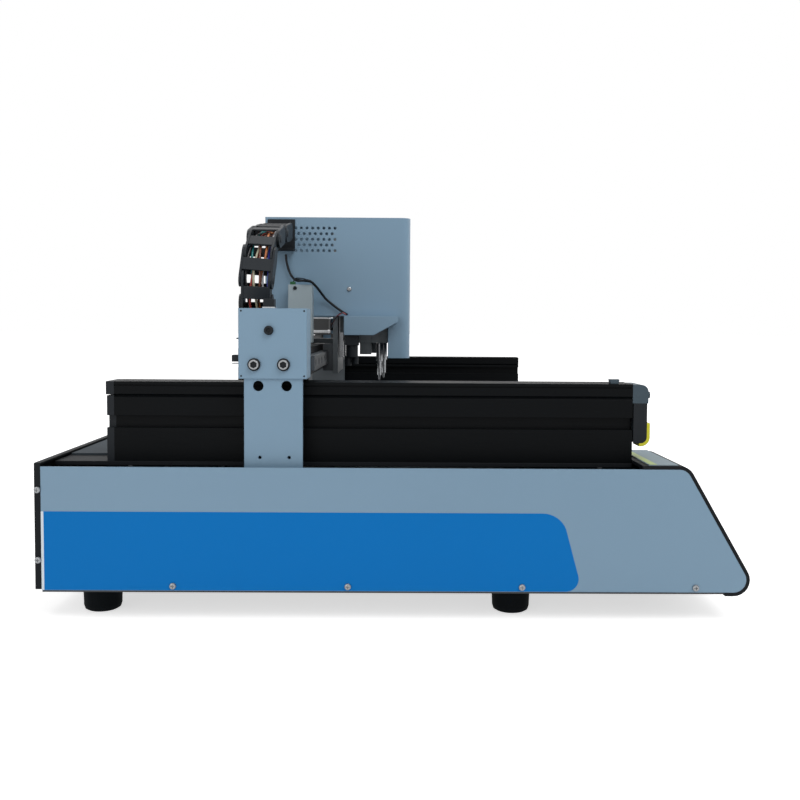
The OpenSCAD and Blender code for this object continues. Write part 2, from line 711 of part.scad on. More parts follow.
// Sheet box over each beam end, open below and inwards; the post hangs just inside it
bolt_r = 3.2;
module end_box() difference() {
    block([box_x - end_box_l, box_x], [box_y0, box_y1], [box_z1 - end_box_h, box_z1]);
    block([box_x - end_box_l - 1, post_x], [box_y0 + end_box_t, box_y1 - end_box_t],
        [box_z1 - end_box_h - 1, box_z1 - end_box_t]);
    block([box_x - end_box_l - 1, post_x], [box_y1 - end_box_t - 1, box_y1 + 1],
        [box_z1 - end_box_h - 1, beam_z1 + slide_gap]);
    for (s = [-1, 1])
        rod_x([post_x - 1, box_x + 1], beam_y + s * core_off, beam_mid_z, bolt_r + hole_gap);
    rod_x([post_x - 1, box_x + 1], beam_y, box_z1 - 21, 2.5 + hole_gap);
}
module end_boxes() color("lightsteelblue") both_sides() end_box();

module post() {
    difference() {
        block([beam_x, post_x], [beam_y - post_w / 2 - 4, beam_y + post_w / 2 - 4],
            [clamp_z, beam_z1]);
        for (s = [-1, 1]) {
            rod_x([beam_x - 1, post_x + 1], beam_y + s * core_off, beam_mid_z, bolt_r + hole_gap);
            rod_x([beam_x - 1, post_x + 1], beam_y - 3 + s * 13.5, beam_z0 - 5.5, 5);
            rod_x([beam_x - 1, post_x + 1], beam_y - 5 + s * 14, deck_z + 8, 1.6);
        }
    }
    // the lower end turns inwards onto the upper run of the belt
    block([belt_x - belt_w / 2, beam_x], [beam_y - 16, beam_y + 10], [clamp_z, clamp_z + 12]);
}
module post_plates() color("lightsteelblue") both_sides() post();

// Carriages on the Y guides with the angle brackets that lift the beam
module y_carriage() {
    difference() {
        block([rail_x0 - carriage_h, rail_x0 - guide_foot],
            [beam_y - carriage_l / 2, beam_y + carriage_l / 2],
            [y_guide_mid_z - carriage_w / 2, y_guide_mid_z + carriage_w / 2]);
        block([rail_x0 - guide_h - slide_gap, rail_x0],
            [beam_y - carriage_l, beam_y + carriage_l],
            [y_guide_mid_z - guide_w / 2 - slide_gap, y_guide_mid_z + guide_w / 2 + slide_gap]);
    }
    block([rail_x0 - carriage_h - 8, rail_x0 - carriage_h], [beam_y0, beam_y1],
        [y_guide_mid_z - carriage_w / 2, beam_z0]);
    block([rail_x0 - carriage_h - 44, rail_x0 - carriage_h - 8], [beam_y0, beam_y1],
        [beam_z0 - 8, beam_z0]);
}
module y_carriages() color("gray") both_sides() y_carriage();

// Socket screws through box and post into the beam, the round knob above them, and the
// shoulder screw under the left belt pulley
socket_r = 6;
module beam_bolts() color("silver") {
    both_sides() for (s = [-1, 1]) translate([0, beam_y + s * core_off, beam_mid_z]) {
        difference() {
            rod_x([box_x, box_x + 5], 0, 0, socket_r);
            rod_x([box_x + 1.5, box_x + 6], 0, 0, 3.4);
        }
        rod_x([beam_x - 14, box_x], 0, 0, bolt_r);
    }
    both_sides() {
        rod_x([box_x, box_x + 5], beam_y, box_z1 - 21, 4.5);
        rod_x([post_x, box_x], beam_y, box_z1 - 21, 2.5);
    }
    rod_z([beam_z1, x_pulley_z + 7], x_idler_x, x_belt_y, 2.5);
    rod_z([x_pulley_z + 7, x_pulley_z + 10], x_idler_x, x_belt_y, 4.5);
}

// X drive: motor over the right end of the beam, toothed belt above the beam
module x_pulley(x) {
    rod_z([x_pulley_z, x_pulley_z + 0.5], x, x_belt_y, x_pulley_r + 1.8);
    rod_z([x_pulley_z + 0.5, x_pulley_z + 5.8], x, x_belt_y, x_pulley_r - 0.05);
    rod_z([x_pulley_z + 5.8, x_pulley_z + 6.3], x, x_belt_y, x_pulley_r + 1.8);
}
module x_idler_pulley() color("silver") difference() {
    x_pulley(x_idler_x);
    rod_z([x_pulley_z - 1, x_pulley_z + 8], x_idler_x, x_belt_y, 2.5 + run_gap);
}
module x_motor_pulley() color("silver") {
    x_pulley(x_motor_x);
    rod_z([x_pulley_z, x_pulley_z + 30], x_motor_x, x_belt_y, 2.5);
}
module x_belt() color("black") translate([0, x_belt_y, x_belt_z]) linear_extrude(x_belt_w)
    belt_outline(x_idler_x, x_motor_x, x_pulley_r, x_belt_t);

// Stepping motor body with silver ends, its shaft hole along Z
module square_motor(w, l, bore) difference() {
    linear_extrude(l) polygon(rounded([[-w / 2, -w / 2], [w / 2, -w / 2], [w / 2, w / 2],
        [-w / 2, w / 2]], [4, 4, 4, 4]));
    translate([0, 0, -1]) cylinder(h = l + 2, r = bore);
}
x_motor_z = x_pulley_z + 8.2;
x_motor_l = 34;
module x_motor() color("black") {
    translate([x_motor_x, x_belt_y, x_motor_z])
        square_motor(small_motor_w, x_motor_l, 2.5 + run_gap);
    difference() {
        block([x_motor_x - small_motor_w / 2 - 2, x_motor_x + small_motor_w / 2 + 2],
            [beam_y0 + 2, x_belt_y + small_motor_w / 2], [x_motor_z - 1.8, x_motor_z]);
        rod_z([x_motor_z - 3, x_motor_z + 1], x_motor_x, x_belt_y, 11);
    }
    block([x_motor_x - small_motor_w / 2, x_motor_x + small_motor_w / 2],
        [beam_y0 + 2, beam_y - 4], [beam_z1, x_motor_z - 1.8]);
}

// Tray for the lower run of the drag chain, on brackets screwed to the back of the beam
module chain_tray() color("black") {
    block([chain_bend_x - chain_r - 2, chain_anchor_x + 20],
        [chain_y - chain_w / 2 - tray_rim, chain_y + chain_w / 2 + tray_rim],
        [tray_z, tray_z + tray_t]);
    for (x = [chain_bend_x - 30, chain_bend_x + 120, chain_anchor_x - 20])
        block([x, x + 25], [beam_y1, beam_y1 + 3], [beam_mid_z - 8, tray_z]);
    block([low_end_x + slide_gap, low_end_x + slide_gap + 2],
        [chain_y - chain_w / 2, chain_y + chain_w / 2], [tray_z, chain_z0 + chain_h]);
}

// Drag chain: links along the lower run, round the bend and back along the upper run.
// Even links have their side plates inside those of the odd links.
plate_w = 2.2;
bar_w = 12;
bar_h = 2.4;
bend_step = 2 * asin(chain_pitch / 2 / chain_r);
bend_links = round(180 / bend_step);
module link(outer, l) {
    inset = outer ? 0 : plate_w + 0.1;
    for (s = [-1, 1]) translate([0, s * (chain_w / 2 - inset - plate_w / 2), 0])
        rotate([90, 0, 0]) translate([0, 0, -plate_w / 2]) linear_extrude(plate_w) difference() {
            union() {
                for (x = [0, l]) translate([x, 0]) circle(chain_h / 2 - 1);
                translate([0, -chain_h / 2 + 1]) square([l, chain_h - 2]);
            }
            for (x = [0, l]) translate([x, 0]) circle(2.2);
        }
    for (z = [-chain_h / 2 + 1, chain_h / 2 - bar_h - 1]) translate([(l - bar_w) / 2,
        -chain_w / 2 + inset, z]) cube([bar_w, chain_w - 2 * inset, bar_h]);
}
function bend_point(i) = [chain_bend_x - chain_r * sin(i * 180 / bend_links),
    chain_low_z + chain_r * (1 - cos(i * 180 / bend_links))];
module drag_chain() color("black") translate([0, chain_y, 0]) {
    for (i = [0 : low_links - 1]) translate([chain_bend_x + chain_pitch * i, 0, chain_low_z])
        link(i % 2 == 0, chain_pitch);
    for (i = [0 : bend_links - 1]) let (a = bend_point(i), b = bend_point(i + 1), d = b - a)
        translate([a[0], 0, a[1]]) rotate([0, -atan2(d[1], d[0]), 0])
            link(i % 2 == 1, norm(d));
    for (i = [0 : high_links - 1]) translate([chain_bend_x + chain_pitch * i, 0, chain_high_z])
        link((i + bend_links) % 2 == 1, chain_pitch);
}

// Five round cables inside the chain, following its middle line
wire_r = 2;
wire_y = [-10, -5, 0, 5, 10];
module chain_wires() color("orange") for (y = wire_y) translate([0, chain_y + y, 0]) {
    rod_x([chain_bend_x, chain_anchor_x - 0.3], 0, chain_low_z, wire_r);
    rod_x([chain_bend_x, high_end_x], 0, chain_high_z, wire_r);
    translate([chain_bend_x, 0, chain_low_z + chain_r]) rotate([90, 90, 0])
        rotate_extrude(angle = 180) translate([chain_r, 0]) circle(wire_r);
}

// ---- head ----------------------------------------------------------------------------

module x_carriages() color("silver") for (s = [-1, 1]) difference() {
    block([head_x + s * 32 - carriage_l / 2, head_x + s * 32 + carriage_l / 2],
        [plate_y1, guide_face_y - guide_foot],
        [beam_mid_z - carriage_w / 2, beam_mid_z + carriage_w / 2]);
    block([head_x - carriage_l * 2, head_x + carriage_l * 2],
        [guide_face_y - guide_h - slide_gap, guide_face_y],
        [beam_mid_z - guide_w / 2 - slide_gap, beam_mid_z + guide_w / 2 + slide_gap]);
}

// Back plate: narrow beside the beam, full width where the cover screws to it. A tongue
// reaches back over the beam and grips the front run of the belt.
plate_narrow = 62;
tongue_y = x_belt_y - x_pulley_r - x_belt_t - slide_gap;
module head_plate() color("gray") {
    difference() {
        union() {
            block([head_x - plate_narrow, head_x + plate_narrow], [plate_y0, plate_y1],
                [beam_z0 - 4, head_top_z - 18]);
            block([head_x0 + head_sheet_t, head_x1 - head_sheet_t], [plate_y0, plate_y1],
                [head_side_z + 6, head_top_z - 18]);
        }
        rod_y(head_x, [plate_y0 - 1, plate_y1 + 1], pinion_z, 11);
    }
    block([head_x - 15, head_x + 15], [plate_y1, tongue_y], [beam_z1 + 1, beam_z1 + 7]);
}

// Cover: one bent sheet over the front and sides with a top, open below and behind. The
// sides end above the beam, but for a leg that follows the front edge down.
leg_w = 26;
function cover_plan(d) = rounded([[head_x0 + d, head_rear_y + d], [head_x0 + d, head_front_y + d],
    [head_x1 - d, head_front_y + d], [head_x1 - d, head_rear_y + d]],
    [0, head_bend_r - d, head_bend_r - d, 0]);
vent_rows = 5;
vent_columns = 8;
vent_pitch = 6.6;
vent_r = 1.65;
vent_y = 71;
vent_z = head_top_z - 39;
module head_cover() color("lightsteelblue") difference() {
    translate([0, 0, head_front_z]) linear_extrude(head_top_z - head_front_z)
        polygon(cover_plan(0));
    translate([0, 0, head_front_z - 1]) linear_extrude(head_top_z - head_front_z + 1 - head_sheet_t)
        polygon(cover_plan(head_sheet_t));
    block([head_x0 - 1, head_x1 + 1], [head_front_y + leg_w, head_rear_y + 1],
        [head_front_z - 1, head_side_z]);
    for (row = [0 : vent_rows - 1], i = [0 : vent_columns - 1])
        rod_x([head_x0 - 1, head_x0 + head_sheet_t + 1],
            vent_y + vent_pitch * (i + (row % 2) / 2), vent_z + vent_pitch * row, vent_r);
}

z_motor_l = 40;
module z_motor() color("black") translate([head_x, plate_y1, pinion_z]) rotate([-90, 0, 0])
    square_motor(small_motor_w, z_motor_l, 2.5 + run_gap);

module z_guides() color("silver") for (s = [-1, 1])
    block([head_x + s * nozzle_off - z_guide_w / 2, head_x + s * nozzle_off + z_guide_w / 2],
        [plate_y0 - z_guide_h, plate_y0], [beam_z0 + 14, head_top_z - 40]);

// White shelf on the left of the cover that carries the camera looking down
camera_y = 50;
module camera_bracket() color("lightsteelblue") {
    block([head_x0 - shelf_out, head_x0], [-4, 59], [shelf_z1, shelf_z1 + head_sheet_t]);
    along_x([head_x0 - shelf_out, head_x0 - shelf_out + head_sheet_t])
        polygon([[-4, shelf_z1], [-4, shelf_z1 - 5], [24.5, shelf_z0], [59, shelf_z0],
            [59, shelf_z1]]);
}
module down_camera() color("black") translate([head_x0 - shelf_out / 2 + 1, camera_y, 0]) {
    block([-9, 9], [-8, 8], [shelf_z0 - 12, shelf_z1]);
    rod_z([246, shelf_z0 - 12], 0, 0, 7);
    rod_z([236, 246], 0, 4.2, 3.5);
    rod_z([238, 246], 0, -4.2, 3.5);
}

// Terminal box behind the shelf
terminal_top_z = 330;
module terminal_box() color("gainsboro")
    block([head_x0 - 22, head_x0], [beam_y0 + 6, chain_y - chain_w / 2 - tray_rim - slide_gap],
        [beam_z1 + 3, terminal_top_z]);

// Bracket that carries the moving end of the drag chain on the cover
module chain_end_bracket() color("black") {
    block([high_end_x + slide_gap, head_x0], [chain_y - chain_w / 2 - 8, head_rear_y - 3],
        [chain_high_z - 9, chain_high_z - 6]);
    block([head_x0 - 2, head_x0], [chain_y - chain_w / 2 - 8, head_rear_y - 3],
        [chain_high_z - 6, chain_high_z + 28]);
}

// The camera's cable from the drag chain to the shelf
cable_r = 1.4;
cable_points = [[-6, 128, 366], [-5, 127.5, 358], [-4, 125, 348], [-5, 121, 340],
    [-13, 115, 335], [-23, 107, 334.5], [-25, 98, 334], [-16, 90, 326], [-6, 82, 315],
    [-4, 74, 308], [-4, 66, 302], [-6, 60, 298], [-9, 56, 296]];
// Points on a smooth curve through a list, and a round tube swept along them
function smooth(p, i, t) = let (a = p[max(i - 1, 0)], b = p[i], c = p[i + 1],
        d = p[min(i + 2, len(p) - 1)])
    (2 * b + (c - a) * t + (2 * a - 5 * b + 4 * c - d) * t * t
        + (3 * b - a - 3 * c + d) * t * t * t) / 2;
function route(p, steps) = concat(
    [for (i = [0 : len(p) - 2], k = [0 : steps - 1]) smooth(p, i, k / steps)],
    [p[len(p) - 1]]);
function heading(p, i) = unit(p[min(i + 1, len(p) - 1)] - p[max(i - 1, 0)]);
function ring(p, i, r, n) = let (t = heading(p, i), u = unit(cross(t, [1, 0.2, 0.1])),
        v = cross(t, u))
    [for (k = [0 : n - 1]) p[i] + r * (u * cos(360 * k / n) + v * sin(360 * k / n))];
module tube(p, r, n = 8) {
    m = len(p);
    polyhedron([for (i = [0 : m - 1]) for (q = ring(p, i, r, n)) q], concat(
        [[for (k = [0 : n - 1]) n - 1 - k]],
        [for (i = [0 : m - 2], k = [0 : n - 1]) let (a = i * n + k, b = i * n + (k + 1) % n)
            [a, b, b + n, a + n]],
        [[for (k = [0 : n - 1]) (m - 1) * n + k]]));
}
module head_cable() color("black") translate([head_x0, 0, 0])
    tube(route(cable_points, 3), cable_r);

// Gear and rack outlines
function gear_points(teeth, m) = let (r = teeth * m / 2, step = 360 / teeth)
    [for (i = [0 : teeth - 1]) for (p = [[-0.29, -1.2], [-0.23, 0], [-0.1, 0.95], [0.1, 0.95],
        [0.23, 0], [0.29, -1.2]]) (r + p[1] * m) * [cos((i + p[0]) * step), sin((i + p[0]) * step)]];
module z_pinion() color("silver") {
    along_y([plate_y0 - 18, plate_y0 - 10]) translate([head_x, pinion_z])
        polygon(gear_points(pinion_teeth, tooth_module));
    rod_y(head_x, [plate_y0 - 20, plate_y1 + 20], pinion_z, 2.5);
}
rack_teeth = 22;
module rack(side) along_y([plate_y0 - 18, plate_y0 - 10]) translate([head_x, pinion_z])
    for (i = [-rack_teeth / 2 : rack_teeth / 2 - 1]) let (p = PI * tooth_module, z = (i + 0.5) * p)
        polygon([[side * (pinion_r + 1.25 * tooth_module), z - p / 2],
            [side * (pinion_r + 1.2 * tooth_module), z - 0.29 * p],
            [side * pinion_r, z - 0.23 * p], [side * (pinion_r - 0.95 * tooth_module), z - 0.12 * p],
            [side * (pinion_r - 0.95 * tooth_module), z + 0.12 * p], [side * pinion_r, z + 0.23 * p],
            [side * (pinion_r + 1.2 * tooth_module), z + 0.29 * p],
            [side * (pinion_r + 1.25 * tooth_module), z + p / 2],
            [side * (pinion_r + 5), z + p / 2], [side * (pinion_r + 5), z - p / 2]]);

// Nozzle slide: block on its guide, arm forward to the turning motor, rack for the pinion
module nozzle_slide(side, y) {
    x = head_x + side * nozzle_off;
    difference() {
        block([x - 8.5, x + 8.5], [z_block_y0, plate_y0 - 1.5],
            [z_block_z0, z_block_z0 + z_block_l]);
        block([x - z_guide_w / 2 - slide_gap, x + z_guide_w / 2 + slide_gap],
            [plate_y0 - z_guide_h - slide_gap, plate_y0],
            [z_block_z0 - 1, z_block_z0 + z_block_l + 1]);
    }
    block([x - 9, x + 9], [y + spin_motor_w / 2, z_block_y0], [spin_motor_z0, z_block_z0 + 12]);
    block([x - 7, x + 7], [y + spin_motor_w / 2, y + spin_motor_w / 2 + 14],
        [spin_motor_z0 - 14, spin_motor_z0]);
    difference() {
        block([x - spin_motor_w / 2, x + spin_motor_w / 2],
            [y - spin_motor_w / 2, y + spin_motor_w / 2],
            [spin_motor_z0, spin_motor_z0 + spin_motor_l]);
        rod_z([spin_motor_z0 - 1, spin_motor_z0 + spin_motor_l + 1], x, y, spindle_r + run_gap);
    }
    rack(side);
    block([min(side * (pinion_r + 5), side * nozzle_off) + head_x,
            max(side * (pinion_r + 5), side * nozzle_off) + head_x],
        [plate_y0 - 18, z_block_y0], [z_block_z0 + 12, pinion_z - 8]);
}
module nozzle_a_slide() color("dimgray") nozzle_slide(-1, nozzle_a_y);
module nozzle_b_slide() color("dimgray") nozzle_slide(1, nozzle_b_y);

// Hollow spindle with holder, bright tube and dark tip
module spindle(side, y) translate([head_x + side * nozzle_off, y, nozzle_tip_z]) {
    cylinder(h = 6.5, r1 = 0.8, r2 = 1.6);
    translate([0, 0, 6.5]) cylinder(h = 17, r = 2.5);
    translate([0, 0, 23.5]) cylinder(h = spin_motor_z0 - slide_gap - nozzle_tip_z - 23.5, r = 4);
    translate([0, 0, 30]) cylinder(h = spin_motor_z0 + spin_motor_l + 8 - nozzle_tip_z - 30,
        r = spindle_r);
}
module nozzle_a_spindle() color("silver") spindle(-1, nozzle_a_y);
module nozzle_b_spindle() color("silver") spindle(1, nozzle_b_y);

// ---- drawing ------------------------------------------------------------------------

base_tray();
left_side_panel();
right_side_panel();
front_cover();
rear_panel();
cross_members();
deck_plate();
work_plate();
rubber_feet();
panel_screws();
left_rail();
right_rail();
rail_end_plates();
y_guides();
rail_cap();
end_sensor();
sensor_guard();
front_rest_plates();
y_motor();
y_belts();
power_supply();
control_board();
vacuum_pumps();
up_camera();
power_inlet();
power_rocker();
estop_base();
estop_button();
board_fixed_bar();
board_sliding_bar();
y_drive_shaft();
y_idler_shaft();
x_beam();
x_guide();
end_boxes();
post_plates();
y_carriages();
beam_bolts();
x_motor();
x_motor_pulley();
x_idler_pulley();
x_belt();
chain_tray();
drag_chain();
chain_wires();
x_carriages();
head_plate();
head_cover();
z_motor();
z_guides();
camera_bracket();
down_camera();
terminal_box();
chain_end_bracket();
head_cable();
z_pinion();
nozzle_a_slide();
nozzle_a_spindle();
nozzle_b_slide();
nozzle_b_spindle();
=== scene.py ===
"""Dresses the desktop pick and place machine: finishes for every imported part, and the fine
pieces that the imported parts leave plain, such as screws, chain links, wires and films."""
import math

import bmesh
import bpy
from mathutils import Matrix, Vector


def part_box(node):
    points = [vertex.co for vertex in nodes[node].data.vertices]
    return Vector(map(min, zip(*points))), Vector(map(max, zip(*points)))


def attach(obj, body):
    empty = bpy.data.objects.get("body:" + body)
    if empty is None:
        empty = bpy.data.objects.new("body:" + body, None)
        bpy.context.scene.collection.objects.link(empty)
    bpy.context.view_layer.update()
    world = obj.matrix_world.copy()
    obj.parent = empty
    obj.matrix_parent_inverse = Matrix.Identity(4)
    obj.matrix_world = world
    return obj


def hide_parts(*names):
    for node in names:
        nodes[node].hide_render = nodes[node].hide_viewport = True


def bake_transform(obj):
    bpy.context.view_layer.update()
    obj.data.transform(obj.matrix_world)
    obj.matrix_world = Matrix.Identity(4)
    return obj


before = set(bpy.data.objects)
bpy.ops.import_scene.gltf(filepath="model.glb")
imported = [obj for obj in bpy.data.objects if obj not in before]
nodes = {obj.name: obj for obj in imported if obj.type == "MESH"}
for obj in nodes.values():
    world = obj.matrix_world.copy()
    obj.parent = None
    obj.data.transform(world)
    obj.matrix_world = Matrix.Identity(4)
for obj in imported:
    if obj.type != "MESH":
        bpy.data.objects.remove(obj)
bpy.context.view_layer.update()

MM = 0.001


# ---- camera, light and floor ----------------------------------------------------------

def place_camera():
    """A camera low on the machine's left, looking along its width, a little down."""
    distance, height, aside = 0.864, 0.2806, 0.004
    left_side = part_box("left_side_panel")[0].x
    pitch, yaw, roll = math.radians(3.0), math.radians(0.56), math.radians(0.37)
    ahead = Vector((math.cos(pitch) * math.cos(yaw), -math.cos(pitch) * math.sin(yaw),
                    -math.sin(pitch)))
    right = ahead.cross(Vector((0, 0, 1))).normalized()
    up = right.cross(ahead)
    up_rolled = up * math.cos(roll) - right * math.sin(roll)
    right_rolled = ahead.cross(up_rolled)
    axes = Matrix((right_rolled, up_rolled, -ahead)).transposed().to_4x4()
    data = bpy.data.cameras.new("camera")
    data.sensor_width = 36
    data.lens = 41.4
    data.shift_y = -0.0298
    camera = bpy.data.objects.new("camera", data)
    camera.matrix_world = Matrix.Translation(
        (left_side - distance, aside, height)) @ axes
    bpy.context.scene.collection.objects.link(camera)
    bpy.context.scene.camera = camera


def softbox(name, place, target, size, watts):
    data = bpy.data.lights.new(name, "AREA")
    data.shape = "RECTANGLE"
    data.size, data.size_y = size
    data.energy = watts
    lamp = bpy.data.objects.new(name, data)
    direction = Vector(target) - Vector(place)
    lamp.matrix_world = (Matrix.Translation(place)
                         @ direction.to_track_quat("-Z", "Y").to_matrix().to_4x4())
    bpy.context.scene.collection.objects.link(lamp)


def seen_or_mirrored(tree):
    """1 for rays that the eye, a mirror or a lens sends, 0 for rays that carry light."""
    path = tree.nodes.new("ShaderNodeLightPath")
    either = tree.nodes.new("ShaderNodeMath")
    either.operation = "MAXIMUM"
    tree.links.new(path.outputs["Is Camera Ray"], either.inputs[0])
    tree.links.new(path.outputs["Is Glossy Ray"], either.inputs[1])
    both = tree.nodes.new("ShaderNodeMath")
    both.operation = "MAXIMUM"
    tree.links.new(either.outputs[0], both.inputs[0])
    tree.links.new(path.outputs["Is Transmission Ray"], both.inputs[1])
    return both.outputs[0]


def light_the_studio():
    for name, place, size, watts in (
            ("key_light", (-1.6, -0.9, 1.9), (1.6, 1.2), 25),
            ("fill_light", (-2.2, 1.2, 0.9), (1.4, 1.2), 9),
            ("top_light", (0.2, 0.1, 2.3), (1.8, 1.8), 16),
            ("front_light", (0.8, -2.2, 1.2), (1.6, 1.2), 10.5),
            ("back_light", (0.9, 2.2, 1.3), (1.6, 1.2), 7.5)):
        softbox(name, place, (0, 0, 0.2), size, watts)
    world = bpy.data.worlds.new("studio")
    world.use_nodes = True
    tree = world.node_tree
    backdrop = tree.nodes["Background"]
    soft = tree.nodes.new("ShaderNodeBackground")
    soft.inputs["Strength"].default_value = 0.32
    backdrop.inputs["Color"].default_value = (1, 1, 1, 1)
    soft.inputs["Color"].default_value = (1, 1, 1, 1)
    backdrop.inputs["Strength"].default_value = 1.0
    mix = tree.nodes.new("ShaderNodeMixShader")
    tree.links.new(seen_or_mirrored(tree), mix.inputs["Fac"])
    tree.links.new(soft.outputs[0], mix.inputs[1])
    tree.links.new(backdrop.outputs[0], mix.inputs[2])
    tree.links.new(mix.outputs[0], tree.nodes["World Output"].inputs["Surface"])
    bpy.context.scene.world = world
    bpy.context.scene.view_settings.view_transform = "Standard"


def lay_the_floor():
    mesh = bpy.data.meshes.new("floor")
    reach = 40
    mesh.from_pydata([(-reach, -reach, 0), (reach, -reach, 0), (reach, reach, 0),
                      (-reach, reach, 0)], [], [(0, 1, 2, 3)])
    floor = bpy.data.objects.new("floor", mesh)
    bpy.context.scene.collection.objects.link(floor)
    paper = bpy.data.materials.new("white_paper_sweep")
    paper.use_nodes = True
    tree = paper.node_tree
    matt = tree.nodes["Principled BSDF"]
    matt.inputs["Base Color"].default_value = (0.86, 0.86, 0.86, 1)
    matt.inputs["Roughness"].default_value = 0.9
    matt.inputs["Specular IOR Level"].default_value = 0.0
    glow = tree.nodes.new("ShaderNodeEmission")
    place = tree.nodes.new("ShaderNodeTexCoord")
    reach_out = tree.nodes.new("ShaderNodeVectorMath")
    reach_out.operation = "LENGTH"
    tree.links.new(place.outputs["Object"], reach_out.inputs[0])
    fade = tree.nodes.new("ShaderNodeMapRange")
    fade.interpolation_type = "SMOOTHSTEP"
    for socket, value in (("From Min", 0.8), ("From Max", 2.6), ("To Min", 0.62),
                          ("To Max", 1.0)):
        fade.inputs[socket].default_value = value
    tree.links.new(reach_out.outputs["Value"], fade.inputs["Value"])
    tree.links.new(fade.outputs["Result"], glow.inputs["Strength"])
    nothing = tree.nodes.new("ShaderNodeEmission")
    nothing.inputs["Strength"].default_value = 0.0
    pick = tree.nodes.new("ShaderNodeMixShader")
    added = tree.nodes.new("ShaderNodeAddShader")
    tree.links.new(seen_or_mirrored(tree), pick.inputs["Fac"])
    tree.links.new(nothing.outputs[0], pick.inputs[1])
    tree.links.new(glow.outputs[0], pick.inputs[2])
    tree.links.new(matt.outputs[0], added.inputs[0])
    tree.links.new(pick.outputs[0], added.inputs[1])
    tree.links.new(added.outputs[0], tree.nodes["Material Output"].inputs["Surface"])
    mesh.materials.append(paper)


# ---- finishes -------------------------------------------------------------------------

def linear(red, green, blue):
    """An sRGB colour, 0 to 255, as the linear values that a shader takes."""
    def one(value):
        v = value / 255
        return v / 12.92 if v <= 0.04045 else ((v + 0.055) / 1.055) ** 2.4
    return (one(red), one(green), one(blue), 1)


def tinted(colour, factor):
    return tuple(min(1, c * factor) for c in colour[:3]) + (1,)


def noise(tree, scale, detail, stretch=(1, 1, 1)):
    """Noise on object coordinates, with the pattern drawn out along an axis if asked."""
    coordinates = tree.nodes.new("ShaderNodeTexCoord")
    mapping = tree.nodes.new("ShaderNodeMapping")
    mapping.inputs["Scale"].default_value = stretch
    texture = tree.nodes.new("ShaderNodeTexNoise")
    texture.inputs["Scale"].default_value = scale
    texture.inputs["Detail"].default_value = detail
    tree.links.new(coordinates.outputs["Object"], mapping.inputs["Vector"])
    tree.links.new(mapping.outputs["Vector"], texture.inputs["Vector"])
    return texture.outputs["Fac"]


def ramp(tree, value, stops):
    node = tree.nodes.new("ShaderNodeValToRGB")
    elements = node.color_ramp.elements
    while len(elements) < len(stops):
        elements.new(0.5)
    for element, (position, colour) in zip(elements, stops):
        element.position = position
        element.color = colour
    tree.links.new(value, node.inputs["Fac"])
    return node.outputs["Color"]


def finish(name, colour, rough, metal=0.0, cloud=0.06, cloud_scale=6, grain=900,
           grain_depth=0.00002, stretch=(1, 1, 1), coat=0.0, edge=0.0006, rough_spread=0.08,
           specular=0.5):
    """A painted, moulded or metal surface: slow colour clouds, fine surface grain that also
    varies its gloss, and softened edges that catch the light."""
    material = bpy.data.materials.new(name)
    material.use_nodes = True
    tree = material.node_tree
    shader = tree.nodes["Principled BSDF"]
    shader.inputs["Metallic"].default_value = metal
    shader.inputs["Coat Weight"].default_value = coat
    shader.inputs["Specular IOR Level"].default_value = specular
    clouds = noise(tree, cloud_scale, 3)
    shade = ramp(tree, clouds, [(0.35, tinted(colour, 1 - cloud)),
                                (0.65, tinted(colour, 1 + cloud))])
    tree.links.new(shade, shader.inputs["Base Color"])
    fine = noise(tree, grain, 2, stretch)
    low, high = max(0.02, rough - rough_spread), min(1, rough + rough_spread)
    gloss = ramp(tree, fine, [(0.3, (low, low, low, 1)), (0.7, (high, high, high, 1))])
    tree.links.new(gloss, shader.inputs["Roughness"])
    bump = tree.nodes.new("ShaderNodeBump")
    bump.inputs["Strength"].default_value = 1.0
    bump.inputs["Distance"].default_value = grain_depth
    tree.links.new(fine, bump.inputs["Height"])
    if edge:
        rounding = tree.nodes.new("ShaderNodeBevel")
        rounding.samples = 4
        rounding.inputs["Radius"].default_value = edge
        tree.links.new(rounding.outputs["Normal"], bump.inputs["Normal"])
    tree.links.new(bump.outputs["Normal"], shader.inputs["Normal"])
    return material


blue_grey_paint = finish("blue_grey_paint", linear(118, 147, 169), 0.42, cloud=0.035,
                         cloud_scale=2.2, grain=1400, grain_depth=0.000012, edge=0.0012)
black_paint = finish("black_textured_paint", linear(13, 16, 20), 0.6, grain=2200,
                     grain_depth=0.00005, cloud=0.15, edge=0.001, specular=0.14)
black_anodised = finish("black_anodised_extrusion", linear(5, 7, 9), 0.42, grain=600,
                        stretch=(4, 0.05, 4), cloud=0.1, edge=0.0006, specular=0.07)
beam_anodised = finish("black_anodised_beam", linear(8, 10, 12), 0.42, grain=600,
                       stretch=(0.05, 4, 4), cloud=0.1, edge=0.0006, specular=0.1)
grey_deck_paint = finish("grey_deck_paint", linear(62, 69, 75), 0.7, grain=1500, cloud=0.05,
                         specular=0.1)
dark_steel = finish("dark_coated_steel", linear(40, 43, 46), 0.5, grain=1500, cloud=0.08)
ground_steel = finish("ground_guide_steel", linear(150, 152, 155), 0.3, metal=0.9,
                      grain=500, grain_depth=0.000004, stretch=(0.3, 0.3, 6), cloud=0.03,
                      edge=0.0003)
zinc = finish("zinc_plated_screw", linear(140, 142, 144), 0.3, metal=0.9, grain=1500,
              grain_depth=0.000004, cloud=0.04, cloud_scale=160, edge=0.0002)
# The ground guide steel again, darkened to stand in for the shade that the crosswise guide and
# its carriages sit in: painted shade.
shaded_guide_steel = finish("guide_steel_painted_shade", linear(62, 66, 70), 0.36, metal=0.6, grain=500,
                    grain_depth=0.000004, stretch=(0.3, 4, 4), cloud=0.04, edge=0.0004)
cast_grey = finish("grey_machined_metal", linear(92, 98, 102), 0.42, metal=0.5, grain=800,
                   cloud=0.08, edge=0.0005)
cap_grey = finish("grey_moulded_cap", linear(64, 77, 86), 0.5, grain=1800, cloud=0.06,
                  edge=0.0008, specular=0.2)
